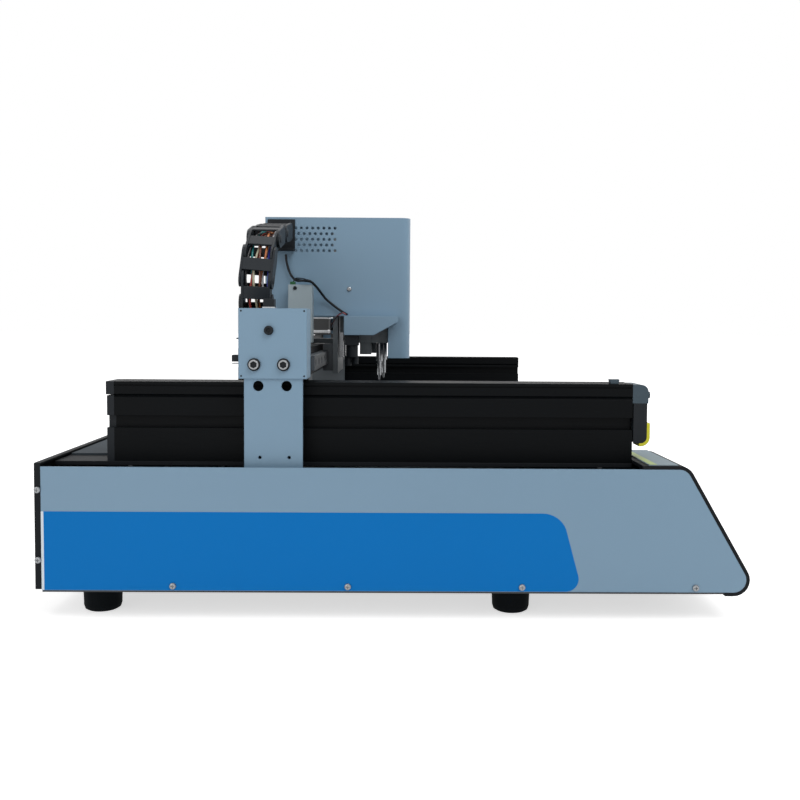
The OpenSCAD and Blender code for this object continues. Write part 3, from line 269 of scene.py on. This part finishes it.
plastic_black = finish("black_moulded_plastic", linear(16, 21, 26), 0.5, grain=2400,
                       grain_depth=0.00003, cloud=0.12, edge=0.0005, specular=0.2)
rubber_black = finish("black_rubber", linear(6, 10, 13), 0.8, grain=1600,
                      grain_depth=0.00006, cloud=0.2, edge=0.001, specular=0.1)
belt_rubber = finish("black_belt_rubber", linear(18, 18, 19), 0.7, grain=1800, cloud=0.15,
                     edge=0)
yellow_plastic = finish("yellow_moulded_plastic", linear(206, 200, 34), 0.4, grain=1800,
                        cloud=0.05, edge=0.0006)
red_plastic = finish("red_moulded_plastic", linear(190, 26, 24), 0.3, grain=1800, cloud=0.05,
                     coat=0.3)
pale_plate = finish("pale_satin_plate", linear(134, 148, 156), 0.6, grain=1500, cloud=0.04,
                    edge=0.0006, specular=0.15)
warm_box = finish("pale_warm_box", linear(158, 173, 180), 0.5, grain=1500, cloud=0.03,
                  edge=0.0006, specular=0.3)
anodised_aluminium = finish("satin_anodised_aluminium", linear(176, 178, 180), 0.34,
                            metal=0.8, grain=600, stretch=(0.1, 4, 4), cloud=0.04, edge=0.0004)
green_resist = finish("green_board", linear(18, 84, 44), 0.35, grain=1200, cloud=0.1)
pump_white = finish("white_pump_plastic", linear(200, 202, 196), 0.4, grain=1800, cloud=0.04)
film_blue = finish("blue_vinyl_film", linear(0, 112, 186), 0.4, grain=1600,
                   grain_depth=0.00001, cloud=0.02, cloud_scale=2.2, edge=0, specular=0.12)
silver_band = finish("silver_motor_end", linear(176, 178, 180), 0.32, metal=0.7, grain=900,
                     cloud=0.05)
motor_black = finish("black_motor_enamel", linear(22, 23, 25), 0.4, grain=1500, cloud=0.12)
film_white = finish("white_vinyl_edge", linear(214, 222, 228), 0.4, grain=1600,
                    grain_depth=0.00001, cloud=0.02, edge=0)
chain_plastic = finish("black_chain_plastic", linear(24, 29, 34), 0.45, grain=2000,
                       grain_depth=0.00004, cloud=0.1, edge=0.0005, specular=0.25)
strip_green = finish("yellow_green_strip", linear(150, 168, 96), 0.45, grain=1600, cloud=0.04,
                     edge=0)

NODE_FINISH = {
    "base_tray": dark_steel, "left_side_panel": blue_grey_paint,
    "right_side_panel": blue_grey_paint, "front_cover": black_paint,
    "rear_panel": black_paint, "cross_members": dark_steel, "deck_plate": black_paint,
    "work_plate": grey_deck_paint, "rubber_feet": rubber_black, "panel_screws": zinc,
    "left_rail": black_anodised, "right_rail": black_anodised,
    "rail_end_plates": plastic_black, "y_guides": ground_steel, "rail_cap": cap_grey,
    "end_sensor": plastic_black, "sensor_guard": yellow_plastic,
    "front_rest_plates": pale_plate, "y_motor": motor_black, "y_belts": belt_rubber,
    "power_supply": anodised_aluminium, "control_board": green_resist,
    "vacuum_pumps": pump_white, "up_camera": plastic_black, "power_inlet": plastic_black,
    "power_rocker": red_plastic, "estop_base": yellow_plastic, "estop_button": red_plastic,
    "board_fixed_bar": anodised_aluminium, "board_sliding_bar": anodised_aluminium,
    "y_drive_shaft": ground_steel, "y_idler_shaft": ground_steel, "x_beam": beam_anodised,
    "x_guide": shaded_guide_steel, "end_boxes": blue_grey_paint, "post_plates": blue_grey_paint,
    "y_carriages": cast_grey, "beam_bolts": zinc, "x_motor": motor_black,
    "x_motor_pulley": anodised_aluminium, "x_idler_pulley": anodised_aluminium,
    "x_belt": belt_rubber, "chain_tray": black_paint, "drag_chain": plastic_black,
    "chain_wires": plastic_black, "x_carriages": shaded_guide_steel, "head_plate": cast_grey,
    "head_cover": blue_grey_paint, "z_motor": motor_black, "z_guides": ground_steel,
    "camera_bracket": blue_grey_paint, "down_camera": plastic_black,
    "terminal_box": warm_box, "head_cable": plastic_black,
    "chain_end_bracket": plastic_black, "z_pinion": ground_steel,
    "nozzle_a_slide": cast_grey, "nozzle_a_spindle": ground_steel,
    "nozzle_b_slide": cast_grey, "nozzle_b_spindle": ground_steel,
}


def dress_nodes():
    for name, material in NODE_FINISH.items():
        mesh = nodes[name].data
        mesh.materials.clear()
        mesh.materials.append(material)


# ---- making pieces --------------------------------------------------------------------

def new_piece(name, mesh, material=None):
    """A finished piece at the origin, untilted and unscaled, with its place in its mesh."""
    piece = bpy.data.objects.new(name, mesh)
    bpy.context.scene.collection.objects.link(piece)
    if material is not None:
        mesh.materials.clear()
        mesh.materials.append(material)
    return piece


def mesh_of(build, name, smooth=False):
    shape = bmesh.new()
    build(shape)
    bmesh.ops.recalc_face_normals(shape, faces=shape.faces)
    for face in shape.faces:
        face.smooth = smooth
    mesh = bpy.data.meshes.new(name)
    shape.to_mesh(mesh)
    shape.free()
    return mesh


def add_block(shape, low, high, bevel=0.0):
    """A box between two corners, its edges rounded by `bevel`."""
    low, high = Vector(low), Vector(high)
    middle, size = (low + high) / 2, high - low
    place = Matrix.Translation(middle) @ Matrix.Diagonal(size.to_4d())
    made = bmesh.ops.create_cube(shape, size=1, matrix=place)
    if bevel:
        edges = list({edge for vert in made["verts"] for edge in vert.link_edges})
        bmesh.ops.bevel(shape, geom=edges, offset=bevel, segments=2, affect="EDGES",
                        profile=0.5)


def add_prism(shape, outline, axis, start, end):
    """A flat outline of (a, b) points carried along one axis, X or Y or Z."""
    def at(a, b, c):
        return {"X": (c, a, b), "Y": (a, c, b), "Z": (a, b, c)}[axis]
    rings = [[shape.verts.new(at(a, b, c)) for a, b in outline] for c in (start, end)]
    shape.faces.new(rings[0][::-1])
    shape.faces.new(rings[1])
    count = len(outline)
    for i in range(count):
        j = (i + 1) % count
        shape.faces.new((rings[0][i], rings[0][j], rings[1][j], rings[1][i]))


def add_lathe(shape, profile, frame_at, sides=24):
    """A profile of (radius, height) points turned round the Z axis of a placing matrix."""
    rings = []
    for radius, height in profile:
        if radius == 0:
            rings.append([shape.verts.new(frame_at @ Vector((0, 0, height)))])
        else:
            rings.append([shape.verts.new(frame_at @ Vector(
                (radius * math.cos(turn), radius * math.sin(turn), height)))
                for turn in (2 * math.pi * i / sides for i in range(sides))])
    for low, high in zip(rings, rings[1:]):
        for i in range(sides):
            j = (i + 1) % sides
            if len(low) == 1 and len(high) == 1:
                continue
            if len(low) == 1:
                shape.faces.new((low[0], high[i], high[j]))
            elif len(high) == 1:
                shape.faces.new((low[i], low[j], high[0]))
            else:
                shape.faces.new((low[i], low[j], high[j], high[i]))


def add_placed(shape, place, build):
    """What `build` makes in a mesh of its own, set into `shape` by a matrix."""
    part = bmesh.new()
    build(part)
    bmesh.ops.transform(part, matrix=place, verts=part.verts)
    mesh = bpy.data.meshes.new("part")
    part.to_mesh(mesh)
    part.free()
    shape.from_mesh(mesh)
    bpy.data.meshes.remove(mesh)


def facing(place, direction):
    """A matrix at `place` whose Z axis looks along `direction`."""
    turn = Vector(direction).to_track_quat("Z", "Y").to_matrix().to_4x4()
    return Matrix.Translation(place) @ turn


def arc(centre, radius, first, last, steps=8):
    """Points on an arc between two angles in degrees."""
    return [(centre[0] + radius * math.cos(math.radians(first + (last - first) * i / steps)),
             centre[1] + radius * math.sin(math.radians(first + (last - first) * i / steps)))
            for i in range(steps + 1)]


# ---- repeated pieces by Geometry Nodes ------------------------------------------------

def copies_tree(name, template, material):
    """A tree that sets a template on every point of a mesh, along the points' normals, and
    scales it by one named input."""
    tree = bpy.data.node_groups.new(name, "GeometryNodeTree")
    tree.interface.new_socket("Geometry", in_out="INPUT", socket_type="NodeSocketGeometry")
    size = tree.interface.new_socket("Size", in_out="INPUT", socket_type="NodeSocketFloat")
    size.default_value = 1.0
    tree.interface.new_socket("Geometry", in_out="OUTPUT", socket_type="NodeSocketGeometry")
    entry = tree.nodes.new("NodeGroupInput")
    result = tree.nodes.new("NodeGroupOutput")
    shape = tree.nodes.new("GeometryNodeObjectInfo")
    shape.inputs["Object"].default_value = template
    normal = tree.nodes.new("GeometryNodeInputNamedAttribute")
    normal.data_type = "FLOAT_VECTOR"
    normal.inputs["Name"].default_value = "facing"
    align = tree.nodes.new("FunctionNodeAlignRotationToVector")
    align.axis = "Z"
    place = tree.nodes.new("GeometryNodeInstanceOnPoints")
    real = tree.nodes.new("GeometryNodeRealizeInstances")
    paint = tree.nodes.new("GeometryNodeSetMaterial")
    paint.inputs["Material"].default_value = material
    link = tree.links.new
    link(entry.outputs["Geometry"], place.inputs["Points"])
    link(shape.outputs["Geometry"], place.inputs["Instance"])
    link(normal.outputs["Attribute"], align.inputs["Vector"])
    link(align.outputs["Rotation"], place.inputs["Rotation"])
    link(entry.outputs["Size"], place.inputs["Scale"])
    link(place.outputs["Instances"], real.inputs["Geometry"])
    link(real.outputs["Geometry"], paint.inputs["Geometry"])
    link(paint.outputs["Geometry"], result.inputs["Geometry"])
    return tree, size.identifier


def scatter(name, template_mesh, material, places, size=1.0):
    """One mesh of copies of a template at (place, direction) pairs."""
    template = bpy.data.objects.new(name + "_template", template_mesh)
    points = bpy.data.meshes.new(name)
    points.from_pydata([place for place, _ in places], [], [])
    directions = points.attributes.new("facing", "FLOAT_VECTOR", "POINT")
    for i, (_, direction) in enumerate(places):
        directions.data[i].vector = direction
    holder = bpy.data.objects.new(name + "_points", points)
    bpy.context.scene.collection.objects.link(holder)
    tree, size_id = copies_tree(name + "_tree", template, material)
    modifier = holder.modifiers.new("copies", "NODES")
    modifier.node_group = tree
    modifier[size_id] = size
    evaluated = holder.evaluated_get(bpy.context.evaluated_depsgraph_get())
    mesh = bpy.data.meshes.new_from_object(evaluated)
    mesh.name = name
    bpy.data.objects.remove(holder)
    bpy.data.objects.remove(template)
    return new_piece(name, mesh, material)


def pan_head_mesh(name, diameter, height):
    """A pan head with a cross recess: a dome ring round a sunken cross."""
    def build(shape):
        outer, inner = diameter / 2, diameter / 2 * 0.62
        arm, half = inner * 0.86, inner * 0.17
        add_lathe(shape, [(outer, -0.3 * MM), (outer, height * 0.45), (outer * 0.9, height * 0.8),
                          (inner, height)], Matrix.Identity(4), 24)
        cross = [(arm, half), (half, half), (half, arm), (-half, arm), (-half, half),
                 (-arm, half), (-arm, -half), (-half, -half), (-half, -arm), (half, -arm),
                 (half, -half), (arm, -half)]
        floor = height * 0.35
        top = [shape.verts.new((x, y, height)) for x, y in cross]
        low = [shape.verts.new((x, y, floor)) for x, y in cross]
        for i in range(12):
            j = (i + 1) % 12
            shape.faces.new((top[i], top[j], low[j], low[i]))
        shape.faces.new(low)
        rim = [vert for vert in shape.verts if abs(vert.co.z - height) < 1e-7
               and vert not in top]
        edges = [shape.edges.get((rim[i], rim[(i + 1) % len(rim)])) for i in range(len(rim))]
        inner_edges = [shape.edges.get((top[i], top[(i + 1) % 12])) for i in range(12)]
        bmesh.ops.triangle_fill(shape, edges=[e for e in edges + inner_edges if e],
                                use_beauty=True)
    return mesh_of(build, name)


def socket_head_mesh(name, diameter, height, hexagon):
    """A cylinder head with a hexagon socket."""
    def build(shape):
        outer = diameter / 2
        add_lathe(shape, [(outer, -0.3 * MM), (outer, height - 0.3 * MM),
                          (outer - 0.3 * MM, height), (hexagon * 0.72, height)],
                  Matrix.Identity(4), 30)
        ring = [vert for vert in shape.verts if abs(vert.co.z - height) < 1e-7
                and vert.co.xy.length < hexagon * 0.73]
        corners = [(hexagon * 0.577 * math.cos(math.radians(60 * i)),
                    hexagon * 0.577 * math.sin(math.radians(60 * i))) for i in range(6)]
        top = [shape.verts.new((x, y, height)) for x, y in corners]
        low = [shape.verts.new((x, y, height * 0.45)) for x, y in corners]
        for i in range(6):
            j = (i + 1) % 6
            shape.faces.new((top[i], top[j], low[j], low[i]))
        shape.faces.new(low)
        count = len(ring)
        edges = [shape.edges.get((ring[i], ring[(i + 1) % count])) for i in range(count)]
        inner_edges = [shape.edges.get((top[i], top[(i + 1) % 6])) for i in range(6)]
        bmesh.ops.triangle_fill(shape, edges=[e for e in edges + inner_edges if e],
                                use_beauty=True)
    return mesh_of(build, name)


# ---- films on the side panels ---------------------------------------------------------

FILM = 0.15 * MM            # thickness of a film


def side_film():
    """A bare blue film along the foot of each side panel, its front end a slanted curve,
    and the pale strip between the film and the panel's rear edge."""
    low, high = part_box("left_side_panel")
    rear, foot, top = high.y - 2.5 * MM, low.z + 0.4 * MM, low.z + 75.5 * MM
    shoulder, slant_foot = -0.148, -0.176
    outline = [(rear, foot), (rear, top)]
    outline += arc((shoulder + 7 * MM, top - 24 * MM), 24 * MM, 90, 158, 8)
    outline += arc((slant_foot + 12 * MM, foot + 12 * MM), 12 * MM, 168, 270, 8)
    edge = [(rear, foot), (high.y, foot), (high.y, top), (rear, top)]
    for side, name in ((-1, "left"), (1, "right")):
        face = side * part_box("right_side_panel")[1].x
        for part, points, material in (("side_film", outline, film_blue),
                                       ("film_edge", edge, film_white)):
            mesh = mesh_of(lambda shape: add_prism(shape, points, "X", face,
                                                   face + side * FILM), name + "_" + part)
            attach(new_piece(name + "_" + part, mesh, material), "root")


# ---- screws ---------------------------------------------------------------------------

def loose_solids(node):
    """The corners of the box round each separate solid of a node."""
    shape = bmesh.new()
    shape.from_mesh(nodes[node].data)
    bmesh.ops.remove_doubles(shape, verts=shape.verts, dist=1e-6)
    solids, seen = [], set()
    for vert in shape.verts:
        if vert.index in seen:
            continue
        seen.add(vert.index)
        stack, solid = [vert], []
        while stack:
            one = stack.pop()
            solid.append(one.co.copy())
            for edge in one.link_edges:
                other = edge.other_vert(one)
                if other.index not in seen:
                    seen.add(other.index)
                    stack.append(other)
        solids.append((Vector([min(point[i] for point in solid) for i in range(3)]),
                       Vector([max(point[i] for point in solid) for i in range(3)])))
    shape.free()
    return solids


def screw_places(node):
    """Seat and outward direction of each flat head in a node of fasteners."""
    places = []
    for low, high in loose_solids(node):
        size = high - low
        thin = min(range(3), key=lambda i: size[i])
        sign = 1 if low[thin] + high[thin] > 0 else -1
        seat = (low + high) / 2
        seat[thin] = low[thin] if sign > 0 else high[thin]
        direction = [0, 0, 0]
        direction[thin] = sign
        places.append((tuple(seat), tuple(direction)))
    return places


def panel_screws():
    head = pan_head_mesh("pan_head", 6.4 * MM, 2.1 * MM)
    screws = scatter("panel_screw_heads", head, zinc, screw_places("panel_screws"))
    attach(screws, "root")
    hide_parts("panel_screws")


def guide_screws():
    """Cap screws along the crosswise linear guide, sunk in its counterbores."""
    cap = socket_head_mesh("guide_cap_screw", 7.2 * MM, 3.4 * MM, 3 * MM)
    low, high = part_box("x_guide")
    pitch = 40 * MM
    count = int((high.x - low.x) / pitch)
    start = (low.x + high.x) / 2 - (count - 1) / 2 * pitch
    z = (low.z + high.z) / 2
    places = [((start + i * pitch, low.y + 4.2 * MM, z), (0, -1, 0)) for i in range(count)]
    screws = scatter("x_guide_screws", cap, zinc, places)
    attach(screws, "gantry")


# ---- drag chain -----------------------------------------------------------------------

CHAIN_PITCH = 26 * MM
CHAIN_LEAN = 7 * MM        # how far the upper run stands towards the front
CHAIN_CLIMB = 4 * MM         # how far each link of the upper run climbs to the head
LINK_HEIGHT = 19 * MM
PLATE = 2.2 * MM
BAR_LENGTH = 13 * MM
BAR_THICK = 2.2 * MM


def chain_path():
    """Joints of the chain, from its anchor on the tray round the bend to the head, and the
    middle of the bend."""
    low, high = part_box("drag_chain")
    half = LINK_HEIGHT / 2
    low_z, high_z = low.z + half, high.z - half
    radius = (high_z - low_z) / 2
    bend_x = low.x + radius + half
    middle_y = (low.y + high.y) / 2
    bend_links = round(math.pi * radius / CHAIN_PITCH)
    low_links = round((high.x - half - bend_x) / CHAIN_PITCH)
    flat = [(bend_x + CHAIN_PITCH * i, low_z) for i in range(low_links, 0, -1)]
    flat += [(bend_x - radius * math.sin(math.pi * i / bend_links),
              low_z + radius * (1 - math.cos(math.pi * i / bend_links)))
             for i in range(bend_links + 1)]
    flat += [(bend_x + CHAIN_PITCH * i, high_z + CHAIN_CLIMB * i) for i in range(1, 4)]
    points = []
    for x, z in flat:
        rise = (z - low_z) / (high_z - low_z)
        points.append(Vector((x, middle_y - CHAIN_LEAN * rise ** 2.2, z)))
    return points, Vector((bend_x, middle_y, (low_z + high_z) / 2))


def link_frame(start, end):
    """A matrix with X along the link and Y across the chain."""
    along = (end - start).normalized()
    across = Vector((0, 1, 0))
    across = (across - along * across.dot(along)).normalized()
    return Matrix((along, across, along.cross(across))).transposed().to_4x4()


def add_link(shape, start, end, width, outer):
    """Two side plates and two cross bars between two joints of the chain. An outer link's
    plates carry a boss at their first joint."""
    turn = link_frame(start, end)
    place = Matrix.Translation(start) @ turn
    length = (end - start).length
    half, inset = width / 2, 0 if outer else PLATE + 0.15 * MM
    radius = LINK_HEIGHT / 2
    outline = arc((0, 0), radius, 90, 270) + arc((length, 0), radius, -90, 90)
    for side in (-1, 1):
        y_out, y_in = side * (half - inset), side * (half - inset - PLATE)
        add_placed(shape, place, lambda part: add_prism(part, outline, "Y", y_in, y_out))
        if outer:
            boss = place @ facing((0, y_out, 0), (0, side, 0))
            add_placed(shape, boss, lambda part: add_lathe(
                part, [(0, 0), (4.2 * MM, 0), (3.6 * MM, 0.9 * MM), (0, 0.9 * MM)],
                Matrix.Identity(4), 16))
    reach = half - inset - 0.2 * MM
    for z in (radius - 0.6 * MM - BAR_THICK, -radius + 0.6 * MM):
        add_placed(shape, place, lambda part: add_block(
            part, ((length - BAR_LENGTH) / 2, -reach, z),
            ((length + BAR_LENGTH) / 2, reach, z + BAR_THICK), 0.5 * MM))


def chain_blend(piece):
    """Bakes the piece's placing into its mesh."""
    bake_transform(piece)


def drag_chain():
    points, _ = chain_path()
    low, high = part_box("drag_chain")
    width = high.y - low.y

    def build(shape):
        for i, (start, end) in enumerate(zip(points, points[1:])):
            add_link(shape, start, end, width, i % 2 == 0)
    piece = new_piece("drag_chain_links", mesh_of(build, "drag_chain_links"), chain_plastic)
    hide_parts("drag_chain")
    chain_blend(piece)


# ---- wires in the chain ---------------------------------------------------------------

def smooth_path(points, steps):
    """A Catmull-Rom curve through points, with `steps` pieces to each span."""
    path = []
    for i in range(len(points) - 1):
        a = points[max(i - 1, 0)]
        b, c = points[i], points[i + 1]
        d = points[min(i + 2, len(points) - 1)]
        for k in range(steps):
            t = k / steps
            path.append(0.5 * (2 * b + (c - a) * t + (2 * a - 5 * b + 4 * c - d) * t * t
                               + (3 * b - a - 3 * c + d) * t ** 3))
    path.append(points[-1].copy())
    return path


def add_tube(shape, path, radius, sides=10):
    """A closed round tube along a path."""
    rings, side_way = [], None
    for i, point in enumerate(path):
        ahead = (path[min(i + 1, len(path) - 1)] - path[max(i - 1, 0)]).normalized()
        if side_way is None:
            side_way = ahead.orthogonal().normalized()
        side_way = (side_way - ahead * side_way.dot(ahead)).normalized()
        other = ahead.cross(side_way)
        rings.append([shape.verts.new(point + radius * (
            side_way * math.cos(2 * math.pi * k / sides)
            + other * math.sin(2 * math.pi * k / sides))) for k in range(sides)])
    for low, high in zip(rings, rings[1:]):
        for k in range(sides):
            j = (k + 1) % sides
            shape.faces.new((low[k], low[j], high[j], high[k]))
    shape.faces.new(rings[0][::-1])
    shape.faces.new(rings[-1])


WIRE_COLOURS = {
    "blue": (38, 44, 150), "white": (208, 210, 214), "orange": (190, 112, 60),
    "brown": (104, 58, 40), "cream": (176, 172, 148), "red": (168, 54, 48),
    "teal": (40, 128, 128), "black": (22, 22, 26),
}


def chain_wires():
    """Eight wires that wander a little across the chain as they follow it."""
    points, centre = chain_path()
    usable = 20 * MM
    first_bend_joint, upper_joints = 6, 3
    count = len(WIRE_COLOURS)
    for number, (name, colour) in enumerate(WIRE_COLOURS.items()):
        offset = usable * (number / (count - 1) - 0.5)
        route = []
        for i, point in enumerate(points):
            sway = 2.2 * MM * math.sin(1.7 * i + 2.1 * number)
            lift = 2.6 * MM * math.sin(1.1 * i + 1.3 * number)
            outward = point - centre
            outward.y = 0
            on_bend = first_bend_joint < i < len(points) - upper_joints
            outward = outward.normalized() if on_bend else Vector((0, 0, 1))
            route.append(point + Vector((0, offset + sway, 0)) + outward * lift)
        material = finish("wire_" + name, linear(*colour), 0.38, grain=1500, cloud=0.06,
                          cloud_scale=90, edge=0)
        mesh = mesh_of(lambda shape: add_tube(shape, smooth_path(route, 4), 1.25 * MM),
                       "chain_wire_" + name, smooth=True)
        piece = new_piece("chain_wire_" + name, mesh, material)
        if number == 0:
            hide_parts("chain_wires")
        chain_blend(piece)


# ---- small pieces on the gantry, the head and the base ---------------------------------

def simple_piece(name, material, body, build, smooth=False):
    piece = new_piece(name, mesh_of(build, name, smooth), material)
    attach(piece, body)
    return piece


def box_top_switch():
    """A small black limit switch on a pale foot, on top of the left end box."""
    low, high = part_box("end_boxes")
    x, y, top = low.x + 6 * MM, low.y + 37 * MM, high.z
    simple_piece("box_top_switch", plastic_black, "gantry", lambda shape: add_block(
        shape, (x, y - 5.3 * MM, top + 1.4 * MM), (x + 12 * MM, y + 5.3 * MM, top + 9 * MM),
        0.5 * MM))
    simple_piece("box_top_switch_foot", silver_band, "gantry", lambda shape: add_block(
        shape, (x - 1 * MM, y - 6 * MM, top), (x + 13 * MM, y + 6 * MM, top + 1.4 * MM)))


def box_corner_rivets():
    """Small dark rivets in the corners of the end boxes' outer faces."""
    low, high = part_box("end_boxes")
    cap = mesh_of(lambda shape: add_lathe(
        shape, [(0.9 * MM, -0.2 * MM), (0.9 * MM, 0.1 * MM), (0, 0.2 * MM)],
        Matrix.Identity(4), 12), "rivet")
    places = [((side * high.x, y, z), (side, 0, 0)) for side in (-1, 1)
              for y in (low.y + 2.6 * MM, high.y - 2.6 * MM)
              for z in (high.z - 2.6 * MM, low.z + 2.6 * MM)]
    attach(scatter("box_corner_rivets", cap, plastic_black, places), "gantry")


def beam_bolts():
    """Two big socket bolts in dark washers and a black knob on each end box."""
    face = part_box("end_boxes")[1].x
    bolts, knobs = [], []
    for low, high in loose_solids("beam_bolts"):
        middle = (low + high) / 2
        if max(-low.x, high.x) < face:
            continue
        side = 1 if middle.x > 0 else -1
        group = knobs if middle.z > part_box("x_beam")[1].z else bolts
        group.append(((side * face, middle.y, middle.z), (side, 0, 0)))
    head = socket_head_mesh("beam_bolt", 9.4 * MM, 5 * MM, 6 * MM)
    washer = mesh_of(lambda shape: add_lathe(
        shape, [(0, 0), (6.1 * MM, 0), (6.1 * MM, 2.4 * MM), (5.4 * MM, 3 * MM), (0, 3 * MM)],
        Matrix.Identity(4), 30), "beam_bolt_washer")
    knob = mesh_of(lambda shape: add_lathe(
        shape, [(0, 0), (4.4 * MM, 0), (4.4 * MM, 3.4 * MM), (3.6 * MM, 4.2 * MM),
                (2.2 * MM, 4.2 * MM), (2.0 * MM, 2.6 * MM), (0, 2.6 * MM)],
        Matrix.Identity(4), 24), "box_knob")
    heads = scatter("beam_bolt_heads", head, zinc, bolts)
    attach(heads, "gantry")
    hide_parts("beam_bolts")
    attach(scatter("beam_bolt_washers", washer, plastic_black, bolts), "gantry")
    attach(scatter("box_knobs", knob, plastic_black, knobs), "gantry")


def rear_limit_switch():
    """A small limit switch behind the left end box, with its lever."""
    low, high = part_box("end_boxes")
    x, y, z = low.x + 4 * MM, high.y, low.z + 19 * MM
    simple_piece("rear_limit_switch", plastic_black, "gantry", lambda shape: add_block(
        shape, (x, y, z - 3 * MM), (x + 14 * MM, y + 7 * MM, z + 3.4 * MM), 0.4 * MM))
    simple_piece("rear_limit_lever", zinc, "gantry", lambda shape: add_block(
        shape, (x + 1 * MM, y, z - 5.2 * MM), (x + 12 * MM, y + 7 * MM, z - 4.4 * MM)))


def terminal_details():
    """A green plug at the terminal box's top, and the thin wires that leave it."""
    low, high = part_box("terminal_box")
    left, top = low.x, high.z
    simple_piece("terminal_plug", green_resist, "head", lambda shape: add_block(
        shape, (left + 1 * MM, high.y - 8 * MM, top - 3 * MM),
        (left + 9 * MM, high.y - 2 * MM, top + 3.5 * MM), 0.4 * MM))
    simple_piece("terminal_plug_screw", plastic_black, "head", lambda shape: add_lathe(
        shape, [(2.2 * MM, -0.2 * MM), (2.2 * MM, 1 * MM), (0, 1 * MM)],
        facing((left, high.y - 8 * MM, top - 4 * MM), (-1, 0, 0)), 14))
    for number in range(3):
        start = Vector((left + 5 * MM, high.y - 5 * MM, top + 3 * MM))
        route = [start, start + Vector((1, -3, 2.5 + number)) * MM,
                 start + Vector((3, -11, 1.2 + 1.6 * number)) * MM,
                 start + Vector((8, -19, 0.4 + 0.8 * number)) * MM,
                 start + Vector((16, -23, -1.5)) * MM]
        simple_piece("terminal_wire_%d" % number, plastic_black, "head",
                     lambda shape: add_tube(shape, smooth_path(route, 4), 0.6 * MM, 8), True)


def camera_wires():
    """Three thin wires from the down camera to the head, behind the shelf."""
    low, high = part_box("camera_bracket")
    for number, (name, colour) in enumerate((("red", (172, 30, 42)), ("pink", (196, 96, 110)),
                                             ("dark", (30, 28, 34)))):
        start = Vector((low.x + 8 * MM, high.y - 2 * MM, high.z + 1.4 * MM))
        route = [start, start + Vector((1, 4 + number, 2)) * MM,
                 start + Vector((2, 10 + 1.5 * number, -1 - 2 * number)) * MM,
                 start + Vector((6, 15 + number, -8 - 2 * number)) * MM,
                 start + Vector((20, 18, -11 - 2 * number)) * MM]
        material = finish("thin_wire_" + name, linear(*colour), 0.4, grain=1500, cloud=0.05,
                          edge=0)
        simple_piece("camera_wire_" + name, material, "head",
                     lambda shape: add_tube(shape, smooth_path(route, 5), 0.7 * MM, 8), True)


def motor_ends():
    """Bright die-cast end caps on the motor that drives the gantry belt."""
    low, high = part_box("x_motor")
    foot = high.z - 34 * MM
    for name, z0, z1 in (("lower", foot - 0.1 * MM, foot + 8 * MM),
                         ("upper", high.z - 8 * MM, high.z + 0.1 * MM)):
        simple_piece("x_motor_end_" + name, silver_band, "gantry", lambda shape: add_block(
            shape, (high.x - 44.2 * MM, high.y - 42.2 * MM, z0),
            (high.x - 1.8 * MM, high.y + 0.2 * MM, z1), 2 * MM))


def front_plate_strips():
    """A yellow-green strip along the back of each pale front plate."""
    low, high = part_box("front_rest_plates")
    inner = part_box("right_rail")[0].x - 30 * MM
    outer = high.x - 0.5 * MM
    def build(shape):
        for side in (-1, 1):
            a, b = sorted((side * outer, side * inner))
            add_block(shape, (a, high.y - 8 * MM, high.z), (b, high.y - 1 * MM,
                                                            high.z + 0.2 * MM))
    simple_piece("front_plate_strips", strip_green, "root", build)


def cover_screws():
    """A pan-head screw on each side of the head cover, and on its left a flat black disc, painted
    shade standing in for a hole.
    """
    low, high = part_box("head_cover")
    head = pan_head_mesh("cover_pan_head", 5.4 * MM, 1.8 * MM)
    screw_y, screw_z = low.y + 72 * MM, high.z - 84 * MM
    hole_shade_y, hole_shade_z = low.y + 120 * MM, high.z - 104 * MM
    places = [((low.x, screw_y, screw_z), (-1, 0, 0)), ((high.x, screw_y, screw_z), (1, 0, 0))]
    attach(scatter("head_cover_screws", head, zinc, places), "head")
    # A flat black disc on the cover's left face: painted shade standing in for the dark inside of
    # a hole.
    hole = mesh_of(lambda shape: add_lathe(shape, [(1.7 * MM, -0.1 * MM), (1.7 * MM, 0.12 * MM),
                                                   (0, 0.12 * MM)], Matrix.Identity(4), 16),
                   "cover_hole")
    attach(scatter("head_cover_plugs", hole, plastic_black,
                    [((low.x, hole_shade_y, hole_shade_z), (-1, 0, 0))]), "head")


place_camera()
light_the_studio()
lay_the_floor()
dress_nodes()
side_film()
panel_screws()
guide_screws()
drag_chain()
chain_wires()
beam_bolts()
rear_limit_switch()
box_top_switch()
box_corner_rivets()
terminal_details()
camera_wires()
motor_ends()
front_plate_strips()
cover_screws()
